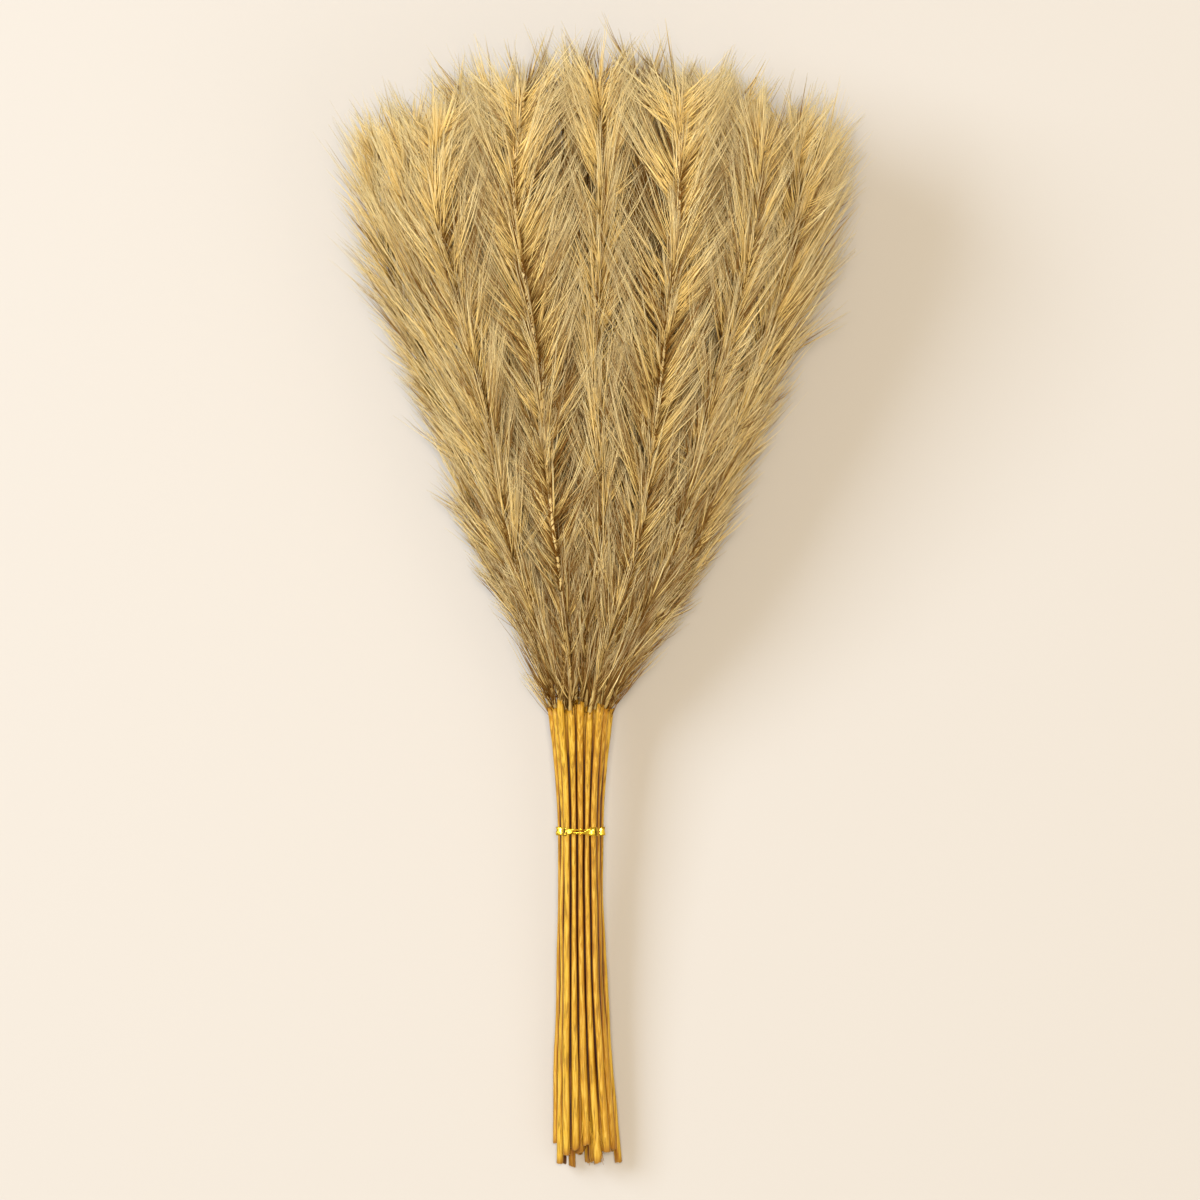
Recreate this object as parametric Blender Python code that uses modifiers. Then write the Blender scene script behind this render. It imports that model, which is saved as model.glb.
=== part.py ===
"""A bunch of dried pampas grass, held by a foil twist tie and laid down.

Each stalk is a stem in its dry leaf sheath and the plume that the stem carries. The stems are packed
in rows at the tie and spread from there both ways. The bunch lies along +Y, cut ends at -Y and plume
tips at +Y, with +Z up. It rests on z = 0 on its cut ends and on the flattened underside of its plumes.
Units are metres. Sections are drawn in planes across Y, in the bunch's own coordinates: u along it
from the lowest cut end, a across it and b up from its axis.
"""

import math
import random

import bmesh
import bpy

# The whole bunch
LENGTH = 0.445  # lowest cut end to highest plume tip
TIE_AT = 0.134  # cut ends to the middle of the tie
NECK_AT = 0.184  # cut ends to the sheath mouths, where the plumes start
AXIS_HEIGHT = 0.0076  # axis above the surface at the cut ends
AXIS_RISE = 0.1085  # rise of the axis per metre of length
GAP = 0.0003  # between pieces that touch
FOOT_GAP = 0.0006  # from the middle of a sheath mouth to its plume, whose flat foot isn't quite square to it

# Stems, packed in staggered rows from the top one down
ROWS = (5, 6, 7, 6, 5)
EMPTY_PLACE = (4, 4)  # row and place left free at the edge of the lowest row
PITCH = 0.0026  # between neighbours at the tie
ROW_PITCH = PITCH * math.sin(math.pi / 3)
STEM_RADIUS = 0.00112  # at the tie
STEM_SPREAD = (0.90, 1.02)  # thinnest and thickest stem against STEM_RADIUS
BUTT_THICKENING = 0.22  # share that a stem gains from the tie to its cut end
SHEATH_THICKENING = 0.17  # share that it gains from the tie to its sheath mouth
BUTT_FLARE = (0.64, 0.45)  # how far the cut ends spread, across and up, as shares of the tie's size
NECK_FLARE = 0.506  # the same at the neck, alike both ways
NECK_FLARE_POWER = 1.64
BUTT_DRIFT = 0.0029  # the cut ends lie this far towards +X
BUTT_JITTER = 0.0005  # how irregularly the cut ends lie
CUT_DEPTH = 0.010  # the cut ends are uneven by this much
MOUTH_JITTER = 0.002  # the sheath mouths are uneven by this much, up and down
STEM_STATIONS = (0.030, 0.065, 0.100, 0.152, 0.168)  # where its line bends, besides at the tie's edges

# The head of plumes: half its width and half its depth at heights above the neck
CELL_MARGIN = (0.0013, 0.0012)  # outermost stems' centres to the head's outline, at the tie's size
OUTLINE_POWER = 2.6  # 2 would make the head's section an ellipse; more squares it
PLACE_LIMIT = 0.86  # how near to the outline, at 1, a plume's place comes
HEAD_HEIGHTS = (0.000, 0.015, 0.030, 0.050, 0.075, 0.100, 0.130, 0.160, 0.185, 0.205, 0.262)
HEAD_HALF_WIDTHS = (0.0137, 0.0200, 0.0295, 0.0425, 0.0530, 0.0620, 0.0750, 0.0870, 0.0955, 0.0985, 0.0960)
HEAD_HALF_DEPTHS = (0.0086, 0.0120, 0.0170, 0.0250, 0.0310, 0.0360, 0.0430, 0.0495, 0.0540, 0.0565, 0.0540)
HEAD_LEAN = 0.007  # the head leans this far towards +X
LEAN_OVER = 0.100  # reached this far above the neck
PLUME_RINGS = (0.015, 0.035, 0.060, 0.095, 0.135, 0.175, 0.205)
TIP_RINGS = ((0.45, 0.92), (0.80, 0.66), (1.00, 0.20))  # share of the way to the tip, share of the full section
SIDES = 10  # of a plume's section
ROUNDING = 8  # the higher, the sharper the corners between neighbouring plumes
BASE_FULLNESS = 0.86  # a plume's foot against the space it has there
EDGE_DROP = 0.032  # the outermost plumes end this much lower than the middle ones
FACE_DROP = 0.008  # so do those on the top and the underside
TIP_JITTER = 0.004
PLACE_JITTER = 0.0003  # irregularity of the plumes' places, at the tie's size
TOP_SPREAD = 0.12  # the top row opens out more than the stems below it
TOP_ARCH = 0.0005  # its outer plumes lie this much lower, at the tie's size
SUNK_PLACE = (0, 2)  # row and place of the plume that lies behind its neighbours
SUNK_BY = 0.0008
SETTLE_OVER = 0.070  # the plumes reach their own places this far above the neck

# The twist tie
TIE_WIDTH = 0.0033
TIE_THICKNESS = 0.00035
TIE_POINTS = 40
TWIST_SECTIONS = (  # along +X from the middle, half width along Y, half thickness
    (-0.0056, 0.0006, 0.0003),
    (-0.0050, 0.0011, 0.0005),
    (-0.0040, 0.0009, 0.0006),
    (-0.0024, 0.0007, 0.0005),
    (0.0014, 0.0007, 0.0004),
    (0.0026, 0.0014, 0.0003),
    (0.0046, 0.0016, 0.0002),
    (0.0056, 0.0013, 0.0002),
)
TWIST_SIDES = 8

SEED = 11


def smooth_step(x):
    """0 below 0, 1 above 1 and an even curve between."""
    x = min(max(x, 0.0), 1.0)
    return x * x * (3.0 - 2.0 * x)


def smooth_curve(xs, ys, x):
    """Value at x of the smooth curve through the points (xs, ys)."""
    x = min(max(x, xs[0]), xs[-1])
    k = next(i for i in range(len(xs) - 1) if x <= xs[i + 1])
    slopes = [
        (ys[min(i + 1, len(ys) - 1)] - ys[max(i - 1, 0)]) / (xs[min(i + 1, len(xs) - 1)] - xs[max(i - 1, 0)])
        for i in (k, k + 1)
    ]
    step = xs[k + 1] - xs[k]
    s = (x - xs[k]) / step
    return (
        ys[k] * (1 + 2 * s) * (1 - s) ** 2
        + slopes[0] * step * s * (1 - s) ** 2
        + ys[k + 1] * s * s * (3 - 2 * s)
        + slopes[1] * step * s * s * (s - 1)
    )


def axis_point(u):
    """Where the bunch's axis passes at u: across and up."""
    below_tie = max(TIE_AT - u, 0.0) / TIE_AT
    above_neck = min(max(u - NECK_AT, 0.0) / LEAN_OVER, 1.0)
    across = BUTT_DRIFT * below_tie**2.3 + HEAD_LEAN * math.sin(above_neck * math.pi / 2)
    return across, AXIS_HEIGHT + AXIS_RISE * u


def spread(u):
    """How much wider and deeper than at the tie the bunch is at u."""
    if u >= NECK_AT:
        half_width = smooth_curve(HEAD_HEIGHTS, HEAD_HALF_WIDTHS, u - NECK_AT)
        half_depth = smooth_curve(HEAD_HEIGHTS, HEAD_HALF_DEPTHS, u - NECK_AT)
        return half_width / OUTLINE[0], half_depth / OUTLINE[1]
    if u >= TIE_AT:
        flare = NECK_FLARE * ((u - TIE_AT) / (NECK_AT - TIE_AT)) ** NECK_FLARE_POWER
        return 1 + flare, 1 + flare
    below = ((TIE_AT - u) / TIE_AT) ** 2
    return 1 + BUTT_FLARE[0] * below, 1 + BUTT_FLARE[1] * below


def stalk_places():
    """Row, place in the row, a and b of each stalk's centre at the tie."""
    places = []
    for row, count in enumerate(ROWS):
        b = ((len(ROWS) - 1) / 2 - row) * ROW_PITCH
        for place in range(count):
            if (row, place) != EMPTY_PLACE:
                places.append((row, place, (place - (count - 1) / 2) * PITCH, b))
    return places


OUTLINE = (
    (max(ROWS) - 1) / 2 * PITCH + CELL_MARGIN[0],
    (len(ROWS) - 1) / 2 * ROW_PITCH + CELL_MARGIN[1],
)


def outline_level(a, b):
    """0 at the middle of the head's section and 1 at its outline."""
    level = abs(a / OUTLINE[0]) ** OUTLINE_POWER + abs(b / OUTLINE[1]) ** OUTLINE_POWER
    return max(level, 1e-9) ** (1 / OUTLINE_POWER)


def distance_to_outline(seed, direction):
    """How far the head's outline is from a seed in a direction, before the bunch's spread."""
    near, far = 0.0, OUTLINE[0] + OUTLINE[1]
    for _ in range(40):
        middle = (near + far) / 2
        if outline_level(seed[0] + middle * direction[0], seed[1] + middle * direction[1]) < 1:
            near = middle
        else:
            far = middle
    return near


class Stalk:
    """One stem and its plume: where they run and how thick they are."""

    def __init__(self, number, row, place, a, b, rng):
        self.number = number
        self.a = a
        self.b = b
        self.thickness = rng.uniform(*STEM_SPREAD)
        self.cut = rng.uniform(0.0, CUT_DEPTH)
        self.mouth = NECK_AT + rng.uniform(-MOUTH_JITTER, MOUTH_JITTER)
        self.butt_shift = (rng.uniform(-BUTT_JITTER, BUTT_JITTER), rng.uniform(-BUTT_JITTER, BUTT_JITTER))
        self.tip = (
            LENGTH
            - EDGE_DROP * (a / ((max(ROWS) - 1) / 2 * PITCH)) ** 2
            - FACE_DROP * (b / ((len(ROWS) - 1) / 2 * ROW_PITCH)) ** 2
            - rng.uniform(0.0, TIP_JITTER)
        )
        self.head_shift = self.shift_in_head(row, place, rng)

    def shift_in_head(self, row, place, rng):
        """How far the plume's place in the head differs from its stem's in the bunch."""
        across = rng.uniform(-PLACE_JITTER, PLACE_JITTER)
        up = rng.uniform(-PLACE_JITTER, PLACE_JITTER)
        if row == 0:
            across += TOP_SPREAD * self.a
            up -= TOP_ARCH * (self.a / (2 * PITCH)) ** 2
        if (row, place) == SUNK_PLACE:
            up -= SUNK_BY
        keep = min(1.0, PLACE_LIMIT / outline_level(self.a + across, self.b + up))
        return keep * (self.a + across) - self.a, keep * (self.b + up) - self.b

    def seed(self, u):
        """The stalk's centre at u before the bunch's spread: across and up from the axis."""
        settled = smooth_step((u - NECK_AT) / SETTLE_OVER)
        return self.a + self.head_shift[0] * settled, self.b + self.head_shift[1] * settled

    def centre(self, u):
        """Where the stalk's centre line passes at u: world x and z."""
        across, up = axis_point(u)
        wide, deep = spread(u)
        a, b = self.seed(u)
        loose = (max(TIE_AT - u, 0.0) / TIE_AT) ** 2
        x = across + a * wide + self.butt_shift[0] * loose
        z = up + b * deep + abs(self.butt_shift[1]) * loose
        return x, z

    def radius(self, u):
        """The stem's radius at u."""
        butt = BUTT_THICKENING * max(TIE_AT - u, 0.0) / TIE_AT
        sheath = SHEATH_THICKENING * max(u - TIE_AT, 0.0) / (NECK_AT - TIE_AT)
        return STEM_RADIUS * self.thickness * (1 + butt + sheath)


def make_stalks():
    """All the stalks, the longest plume ending exactly at LENGTH and the lowest cut exactly at 0."""
    rng = random.Random(SEED)
    stalks = [Stalk(i + 1, *place, rng) for i, place in enumerate(stalk_places())]
    lowest_cut = min(s.cut for s in stalks)
    highest_tip = max(s.tip for s in stalks)
    for s in stalks:
        s.cut -= lowest_cut
        s.tip += LENGTH - highest_tip
    return stalks


def make_material(name, color, roughness, metallic=0.0):
    """A plain material of one colour."""
    material = bpy.data.materials.new(name)
    material.use_nodes = True
    shader = material.node_tree.nodes["Principled BSDF"]
    shader.inputs["Base Color"].default_value = (*color, 1.0)
    shader.inputs["Roughness"].default_value = roughness
    shader.inputs["Metallic"].default_value = metallic
    return material


def add_object(name, data, material, collection, parent):
    """A named object for one piece, held by the bunch's empty."""
    obj = bpy.data.objects.new(name, data)
    obj.data.materials.append(material)
    obj.parent = parent
    collection.objects.link(obj)
    return obj


def stem_curve(stalk):
    """A stem in its sheath: a round tube that follows the stalk from its cut end to the sheath mouth."""
    curve = bpy.data.curves.new(f"stem_{stalk.number:02d}", "CURVE")
    curve.dimensions = "3D"
    curve.bevel_depth = STEM_RADIUS
    curve.bevel_resolution = 2
    curve.use_fill_caps = True
    tie_edges = (TIE_AT - TIE_WIDTH / 2, TIE_AT + TIE_WIDTH / 2)
    stations = [stalk.cut] + sorted(STEM_STATIONS + tie_edges) + [stalk.mouth]
    spline = curve.splines.new("POLY")
    spline.points.add(len(stations) - 1)
    for point, u in zip(spline.points, stations):
        x, z = stalk.centre(u)
        point.co = (x, u, z, 1.0)
        point.radius = stalk.radius(u) / STEM_RADIUS
    return curve


def reach(seed, others, direction):
    """How far a plume's section goes from its seed in a direction, before the bunch's spread.

    It stops halfway to each neighbour and at the head's outline, with the corners rounded off.
    """
    inverse = 0.0
    for other in others:
        away = (other[0] - seed[0], other[1] - seed[1])
        along = away[0] * direction[0] + away[1] * direction[1]
        if along > 0:
            halfway = (away[0] ** 2 + away[1] ** 2) / 2
            inverse += (along / halfway) ** ROUNDING
    inverse += distance_to_outline(seed, direction) ** -ROUNDING
    return inverse ** (-1 / ROUNDING)


def plume_ring(stalk, stalks, u, fullness):
    """The points of a plume's section at u, none of them below the surface it lies on."""
    x, z = stalk.centre(u)
    wide, deep = spread(u)
    seed = stalk.seed(u)
    others = [s.seed(u) for s in stalks if s is not stalk]
    ring = []
    for i in range(SIDES):
        angle = 2 * math.pi * i / SIDES - math.pi / 2
        direction = (math.cos(angle), math.sin(angle))
        r = reach(seed, others, direction) * fullness
        dx = direction[0] * r * wide
        dz = direction[1] * r * deep
        keep = 1 - GAP / math.hypot(dx, dz)
        if z + dz * keep < 0:
            keep = -z / dz
        ring.append((x + dx * keep, u, z + dz * keep))
    return ring


def plume_sections(stalk):
    """Heights along the bunch and fullness of a plume's sections, from its foot to its tip."""
    foot = stalk.mouth + FOOT_GAP
    last = NECK_AT + PLUME_RINGS[-1]
    sections = [(foot, BASE_FULLNESS)]
    sections += [(NECK_AT + t, 1.0) for t in PLUME_RINGS]
    sections += [(last + share * (stalk.tip - last), full) for share, full in TIP_RINGS]
    return sections


def plume_mesh(stalk, stalks):
    """A plume's body: a closed loft through its sections."""
    bm = bmesh.new()
    rings = []
    for u, fullness in plume_sections(stalk):
        rings.append([bm.verts.new(p) for p in plume_ring(stalk, stalks, u, fullness)])
    for lower, upper in zip(rings, rings[1:]):
        for i in range(SIDES):
            j = (i + 1) % SIDES
            bm.faces.new((lower[i], lower[j], upper[j], upper[i]))
    bm.faces.new(rings[0])
    bm.faces.new(rings[-1])
    return finish_mesh(bm, f"plume_{stalk.number:02d}")


def tie_outline(stalks, u):
    """Points round the bunch at u, a gap outside its outermost stems."""
    outline = []
    for i in range(TIE_POINTS):
        angle = 2 * math.pi * i / TIE_POINTS
        direction = (math.cos(angle), math.sin(angle))
        best = None
        for s in stalks:
            x, z = s.centre(u)
            distance = x * direction[0] + z * direction[1] + s.radius(u)
            if best is None or distance > best[0]:
                best = (distance, x, z, s.radius(u))
        offset = best[3] + GAP
        outline.append((best[1] + offset * direction[0], u, best[2] + offset * direction[1]))
    return outline


def tie_band_mesh(stalks):
    """The strip of the tie that runs round the stems: a ring, thickened outwards by its modifier."""
    bm = bmesh.new()
    edges = []
    for u in (TIE_AT - TIE_WIDTH / 2, TIE_AT + TIE_WIDTH / 2):
        edges.append([bm.verts.new(p) for p in tie_outline(stalks, u)])
    for i in range(TIE_POINTS):
        j = (i + 1) % TIE_POINTS
        bm.faces.new((edges[0][i], edges[1][i], edges[1][j], edges[0][j]))
    mesh = bpy.data.meshes.new("tie_band")
    bm.to_mesh(mesh)
    bm.free()
    return mesh


def tie_twist_mesh(stalks):
    """The tie's twisted ends, lying on top of its band and opening out towards +X."""
    across, _ = axis_point(TIE_AT)
    top = max(p[2] for p in tie_outline(stalks, TIE_AT + TIE_WIDTH / 2)) + TIE_THICKNESS
    thickest = max(half_thickness for _, _, half_thickness in TWIST_SECTIONS)
    bm = bmesh.new()
    rings = []
    for x, half_width, half_thickness in TWIST_SECTIONS:
        ring = []
        for i in range(TWIST_SIDES):
            angle = 2 * math.pi * i / TWIST_SIDES
            y = TIE_AT + half_width * math.cos(angle)
            z = top + GAP + thickest + half_thickness * math.sin(angle)
            ring.append(bm.verts.new((across + x, y, z)))
        rings.append(ring)
    for left, right in zip(rings, rings[1:]):
        for i in range(TWIST_SIDES):
            j = (i + 1) % TWIST_SIDES
            bm.faces.new((left[i], left[j], right[j], right[i]))
    bm.faces.new(rings[0])
    bm.faces.new(rings[-1])
    return finish_mesh(bm, "tie_twist")


def finish_mesh(bm, name):
    """The bmesh as a mesh, its faces turned outwards and shaded smooth."""
    bmesh.ops.recalc_face_normals(bm, faces=bm.faces)
    mesh = bpy.data.meshes.new(name)
    bm.to_mesh(mesh)
    bm.free()
    mesh.shade_smooth()
    return mesh


def bounds(objects):
    """Lowest and highest corners of the evaluated objects."""
    bpy.context.view_layer.update()
    depsgraph = bpy.context.evaluated_depsgraph_get()
    low = [math.inf] * 3
    high = [-math.inf] * 3
    for obj in objects:
        evaluated = obj.evaluated_get(depsgraph)
        mesh = evaluated.to_mesh()
        for vertex in mesh.vertices:
            point = evaluated.matrix_world @ vertex.co
            low = [min(l, c) for l, c in zip(low, point)]
            high = [max(h, c) for h, c in zip(high, point)]
        evaluated.to_mesh_clear()
    return low, high


def main():
    for obj in list(bpy.data.objects):
        bpy.data.objects.remove(obj)
    collection = bpy.data.collections.new("pampas_grass_bunch")
    bpy.context.scene.collection.children.link(collection)
    bunch = bpy.data.objects.new("bunch", None)
    collection.objects.link(bunch)

    stem_material = make_material("dry_stem", (0.72, 0.40, 0.09), 0.55)
    plume_material = make_material("dry_plume", (0.56, 0.37, 0.14), 0.85)
    foil_material = make_material("gold_foil", (0.95, 0.68, 0.08), 0.25, 1.0)

    stalks = make_stalks()
    pieces = []
    for stalk in stalks:
        curve = stem_curve(stalk)
        pieces.append(add_object(curve.name, curve, stem_material, collection, bunch))
    for stalk in stalks:
        mesh = plume_mesh(stalk, stalks)
        pieces.append(add_object(mesh.name, mesh, plume_material, collection, bunch))

    band = add_object("tie_band", tie_band_mesh(stalks), foil_material, collection, bunch)
    wall = band.modifiers.new("thickness", "SOLIDIFY")
    wall.thickness = TIE_THICKNESS
    wall.offset = 1.0
    pieces.append(band)
    pieces.append(add_object("tie_twist", tie_twist_mesh(stalks), foil_material, collection, bunch))

    low, high = bounds(pieces)
    bunch.location = [-(low[0] + high[0]) / 2, -(low[1] + high[1]) / 2, -low[2]]


main()
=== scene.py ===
"""Looks of a bundle of dried pampas grass that lies on its side.

The frame gives every stem, every plume and the tie their places. Here each plume gets
its spine and its tufts of fibres, each stem its sheath, seam and cut end, and the tie
its creased foil. All lengths are in metres.
"""

import logging
import math
import random
from dataclasses import dataclass, field
from enum import Enum

import bmesh
import bpy
import numpy as np
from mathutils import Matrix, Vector, noise


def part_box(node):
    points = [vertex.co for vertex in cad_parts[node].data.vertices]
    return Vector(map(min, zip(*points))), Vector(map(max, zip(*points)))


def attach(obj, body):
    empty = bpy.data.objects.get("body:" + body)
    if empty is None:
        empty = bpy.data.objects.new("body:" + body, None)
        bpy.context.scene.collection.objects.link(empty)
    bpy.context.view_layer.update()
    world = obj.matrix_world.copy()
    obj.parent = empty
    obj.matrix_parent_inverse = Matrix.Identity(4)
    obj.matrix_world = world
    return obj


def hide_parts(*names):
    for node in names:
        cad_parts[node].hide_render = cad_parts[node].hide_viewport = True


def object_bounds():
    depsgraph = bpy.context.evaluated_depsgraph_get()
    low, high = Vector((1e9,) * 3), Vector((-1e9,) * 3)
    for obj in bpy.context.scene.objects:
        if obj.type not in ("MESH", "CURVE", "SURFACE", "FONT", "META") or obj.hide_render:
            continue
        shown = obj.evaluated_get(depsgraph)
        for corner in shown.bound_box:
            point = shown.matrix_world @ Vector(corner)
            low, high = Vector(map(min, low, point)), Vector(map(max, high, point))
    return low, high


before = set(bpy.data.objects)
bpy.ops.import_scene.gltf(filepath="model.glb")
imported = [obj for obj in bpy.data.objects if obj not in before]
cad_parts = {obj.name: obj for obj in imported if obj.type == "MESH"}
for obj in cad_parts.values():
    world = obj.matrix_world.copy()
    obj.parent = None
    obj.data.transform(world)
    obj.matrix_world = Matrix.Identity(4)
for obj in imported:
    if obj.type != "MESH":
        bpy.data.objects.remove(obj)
FRAME_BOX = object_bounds()
BODY = "root"
FIBRE_MAP = "OFBake"
ACROSS = (0, 2)  # the columns of X and Z, across the bundle

Socket = bpy.types.NodeSocket
Triple = tuple[float, float, float]  # a linear colour or a place

log = logging.getLogger("pampas_bunch")


class Slot(Enum):
    """The record's material slots."""

    STEM = "stem"
    PLUME = "plume"
    TIE = "tie"


class Habit(Enum):
    """How a plume's fibres leave its spine."""

    FEATHER = "feather"
    SHAGGY = "shaggy"
    EDGE = "edge"
    FILLING = "filling"


# ---------------------------------------------------------------- node trees


class Graph:
    """A node tree under construction."""

    def __init__(self, tree: bpy.types.NodeTree) -> None:
        """Keep the tree that the nodes go into."""
        self.tree = tree

    def add(self, kind: str, inputs: dict | None = None, **settings: object) -> bpy.types.Node:
        """Add one node.

        Args:
            kind: The node's type name.
            inputs: Values or output sockets by input name or number.
            **settings: The node's own properties.

        Returns:
            The new node.
        """
        node = self.tree.nodes.new(kind)
        for name, value in settings.items():
            setattr(node, name, value)
        for key, value in (inputs or {}).items():
            self.feed(node.inputs[key], value)
        return node

    def feed(self, socket: Socket, value: object) -> None:
        """Link a socket to an output, or give it a plain value, opaque where that is a colour.

        Args:
            socket: The input.
            value: An output's socket, or the value.
        """
        if isinstance(value, Socket):
            self.tree.links.new(value, socket)
        elif socket.type == "RGBA":
            socket.default_value = (*value, 1)
        else:
            socket.default_value = value

    def math(self, operation: str, *values: object, clamp: bool = False) -> Socket:
        """Return the result of a Math node on the values."""
        inputs = dict(enumerate(values))
        return self.add("ShaderNodeMath", inputs, operation=operation, use_clamp=clamp).outputs[0]

    def vector(self, operation: str, *values: object) -> Socket:
        """Return the result of a Vector Math node on the values."""
        node = self.add("ShaderNodeVectorMath", dict(enumerate(values)), operation=operation)
        return node.outputs["Value" if operation in ("LENGTH", "DOT_PRODUCT") else "Vector"]

    def scaled(self, vector: object, factor: object) -> Socket:
        """Return a vector times a factor."""
        node = self.add("ShaderNodeVectorMath", {0: vector, "Scale": factor}, operation="SCALE")
        return node.outputs["Vector"]

    def blended(self, share: object, first: object, second: object) -> Socket:
        """Mix two colours.

        Args:
            share: How much of the second, from 0 to 1.
            first: The first colour.
            second: The second colour.

        Returns:
            The mixed colour.
        """
        node = self.add("ShaderNodeMix", {"Factor": share}, data_type="RGBA")
        self.feed(node.inputs[6], first)
        self.feed(node.inputs[7], second)
        return node.outputs[2]

    def ranged(self, value: object, low: float, high: float, to_low: float, to_high: float) -> Socket:
        """Return a value carried smoothly from one range to another, held at its ends."""
        inputs = {"Value": value, "From Min": low, "From Max": high, "To Min": to_low, "To Max": to_high}
        return self.add("ShaderNodeMapRange", inputs, interpolation_type="SMOOTHSTEP").outputs["Result"]

    def painted(self, name: str) -> Socket:
        """Return a value that the mesh's points hold under a name."""
        return self.add("ShaderNodeAttribute", attribute_name=name, attribute_type="GEOMETRY").outputs["Fac"]

    def bumped(self, shader: bpy.types.Node, height: Socket, strength: float, distance: float) -> None:
        """Make a shader's surface uneven by a height."""
        bump = self.add("ShaderNodeBump", {"Height": height, "Strength": strength, "Distance": distance})
        self.feed(shader.inputs["Normal"], bump.outputs["Normal"])


def add_socket(
    tree: bpy.types.NodeTree, name: str, kind: str, output: bool = False, value: object = None
) -> None:
    """Give a tree a named socket on its outside.

    Args:
        tree: The node tree.
        name: The socket's name.
        kind: Its type, without the NodeSocket prefix.
        output: Whether it is an output.
        value: Its default.
    """
    side = "OUTPUT" if output else "INPUT"
    socket = tree.interface.new_socket(name, in_out=side, socket_type=f"NodeSocket{kind}")
    if value is not None:
        socket.default_value = value


# ---------------------------------------------------------------- helpers


def around_y(angle: float) -> Vector:
    """Return the direction across the bundle at an angle about Y."""
    return Vector((math.cos(angle), 0, math.sin(angle)))


def half_turn(angle: float) -> float:
    """Return an angle brought to between minus and plus half a turn."""
    return (angle + math.pi) % (2 * math.pi) - math.pi


def held(share: float) -> float:
    """Return a share held between 0 and 1."""
    return min(max(share, 0.0), 1.0)


def near_end(distance: float, reach: float) -> float:
    """Return 1 at an end, falling to 0 at a distance of reach from it."""
    return max(0.0, 1 - distance / reach)


def link_object(name: str, data: bpy.types.ID) -> bpy.types.Object:
    """Put data in the scene.

    Args:
        name: The new object's name.
        data: Its mesh, light or camera.

    Returns:
        The new object.
    """
    thing = bpy.data.objects.new(name, data)
    bpy.context.scene.collection.objects.link(thing)
    return thing


def join_rows(bm: bmesh.types.BMesh, rows: list[list[bmesh.types.BMVert]], closed: bool = True) -> None:
    """Join rows of points by faces.

    Args:
        bm: The mesh under construction.
        rows: The rows, each with as many points.
        closed: Whether each row is a ring.
    """
    count = len(rows[0])
    for lower, upper in zip(rows, rows[1:]):
        for i in range(count if closed else count - 1):
            j = (i + 1) % count
            bm.faces.new((lower[i], lower[j], upper[j], upper[i]))


def smooth_mesh(bm: bmesh.types.BMesh, name: str, finish: bpy.types.Material) -> bpy.types.Mesh:
    """Finish a surface, and free its mesh under construction.

    Args:
        bm: The mesh under construction.
        name: The new mesh's name.
        finish: Its material.

    Returns:
        The smooth mesh, which faces outwards.
    """
    for face in bm.faces:
        face.smooth = True
    bmesh.ops.recalc_face_normals(bm, faces=bm.faces)
    mesh = bpy.data.meshes.new(name)
    bm.to_mesh(mesh)
    bm.free()
    mesh.materials.append(finish)
    return mesh


# ---------------------------------------------------------------- shapes of the frame


def node_points(node: str) -> np.ndarray:
    """Find a CAD node's separate points.

    Args:
        node: The node's name.

    Returns:
        The points, one row each.
    """
    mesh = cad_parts[node].data
    points = np.empty(len(mesh.vertices) * 3)
    mesh.vertices.foreach_get("co", points)
    return np.unique(points.reshape(-1, 3).round(6), axis=0)


def split_sections(points: np.ndarray, gap: float) -> list[np.ndarray]:
    """Split a long piece's points into its cross-sections.

    Args:
        points: The piece's points.
        gap: The least distance along Y between two sections.

    Returns:
        The sections, from the lowest Y up.
    """
    ordered = points[np.argsort(points[:, 1])]
    return np.split(ordered, np.where(np.diff(ordered[:, 1]) > gap)[0] + 1)


class Line:
    """A smooth line through points that follow each other along Y."""

    def __init__(self, points: np.ndarray) -> None:
        """Keep the points and the slope of X and Z at each.

        Args:
            points: The points, from the lowest Y up.
        """
        self.y = points[:, 1]
        self.values = points[:, ACROSS]
        self.slopes = np.gradient(self.values, self.y, axis=0)

    def at(self, y: float) -> Vector:
        """Find the line's point at a place along Y.

        Args:
            y: The place.

        Returns:
            The point, straight on beyond the line's ends.
        """
        k = int(np.clip(np.searchsorted(self.y, y) - 1, 0, len(self.y) - 2))
        if y <= self.y[0] or y >= self.y[-1]:
            end = 0 if y <= self.y[0] else -1
            x, z = self.values[end] + self.slopes[end] * (y - self.y[end])
            return Vector((x, y, z))
        step = self.y[k + 1] - self.y[k]
        s = (y - self.y[k]) / step
        x, z = (
            self.values[k] * (1 + 2 * s) * (1 - s) ** 2
            + self.slopes[k] * step * s * (1 - s) ** 2
            + self.values[k + 1] * s * s * (3 - 2 * s)
            + self.slopes[k + 1] * step * s * s * (s - 1)
        )
        return Vector((x, y, z))

    def along(self, y: float) -> Vector:
        """Return the line's direction at y."""
        return (self.at(y + 0.001) - self.at(y - 0.001)).normalized()


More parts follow.
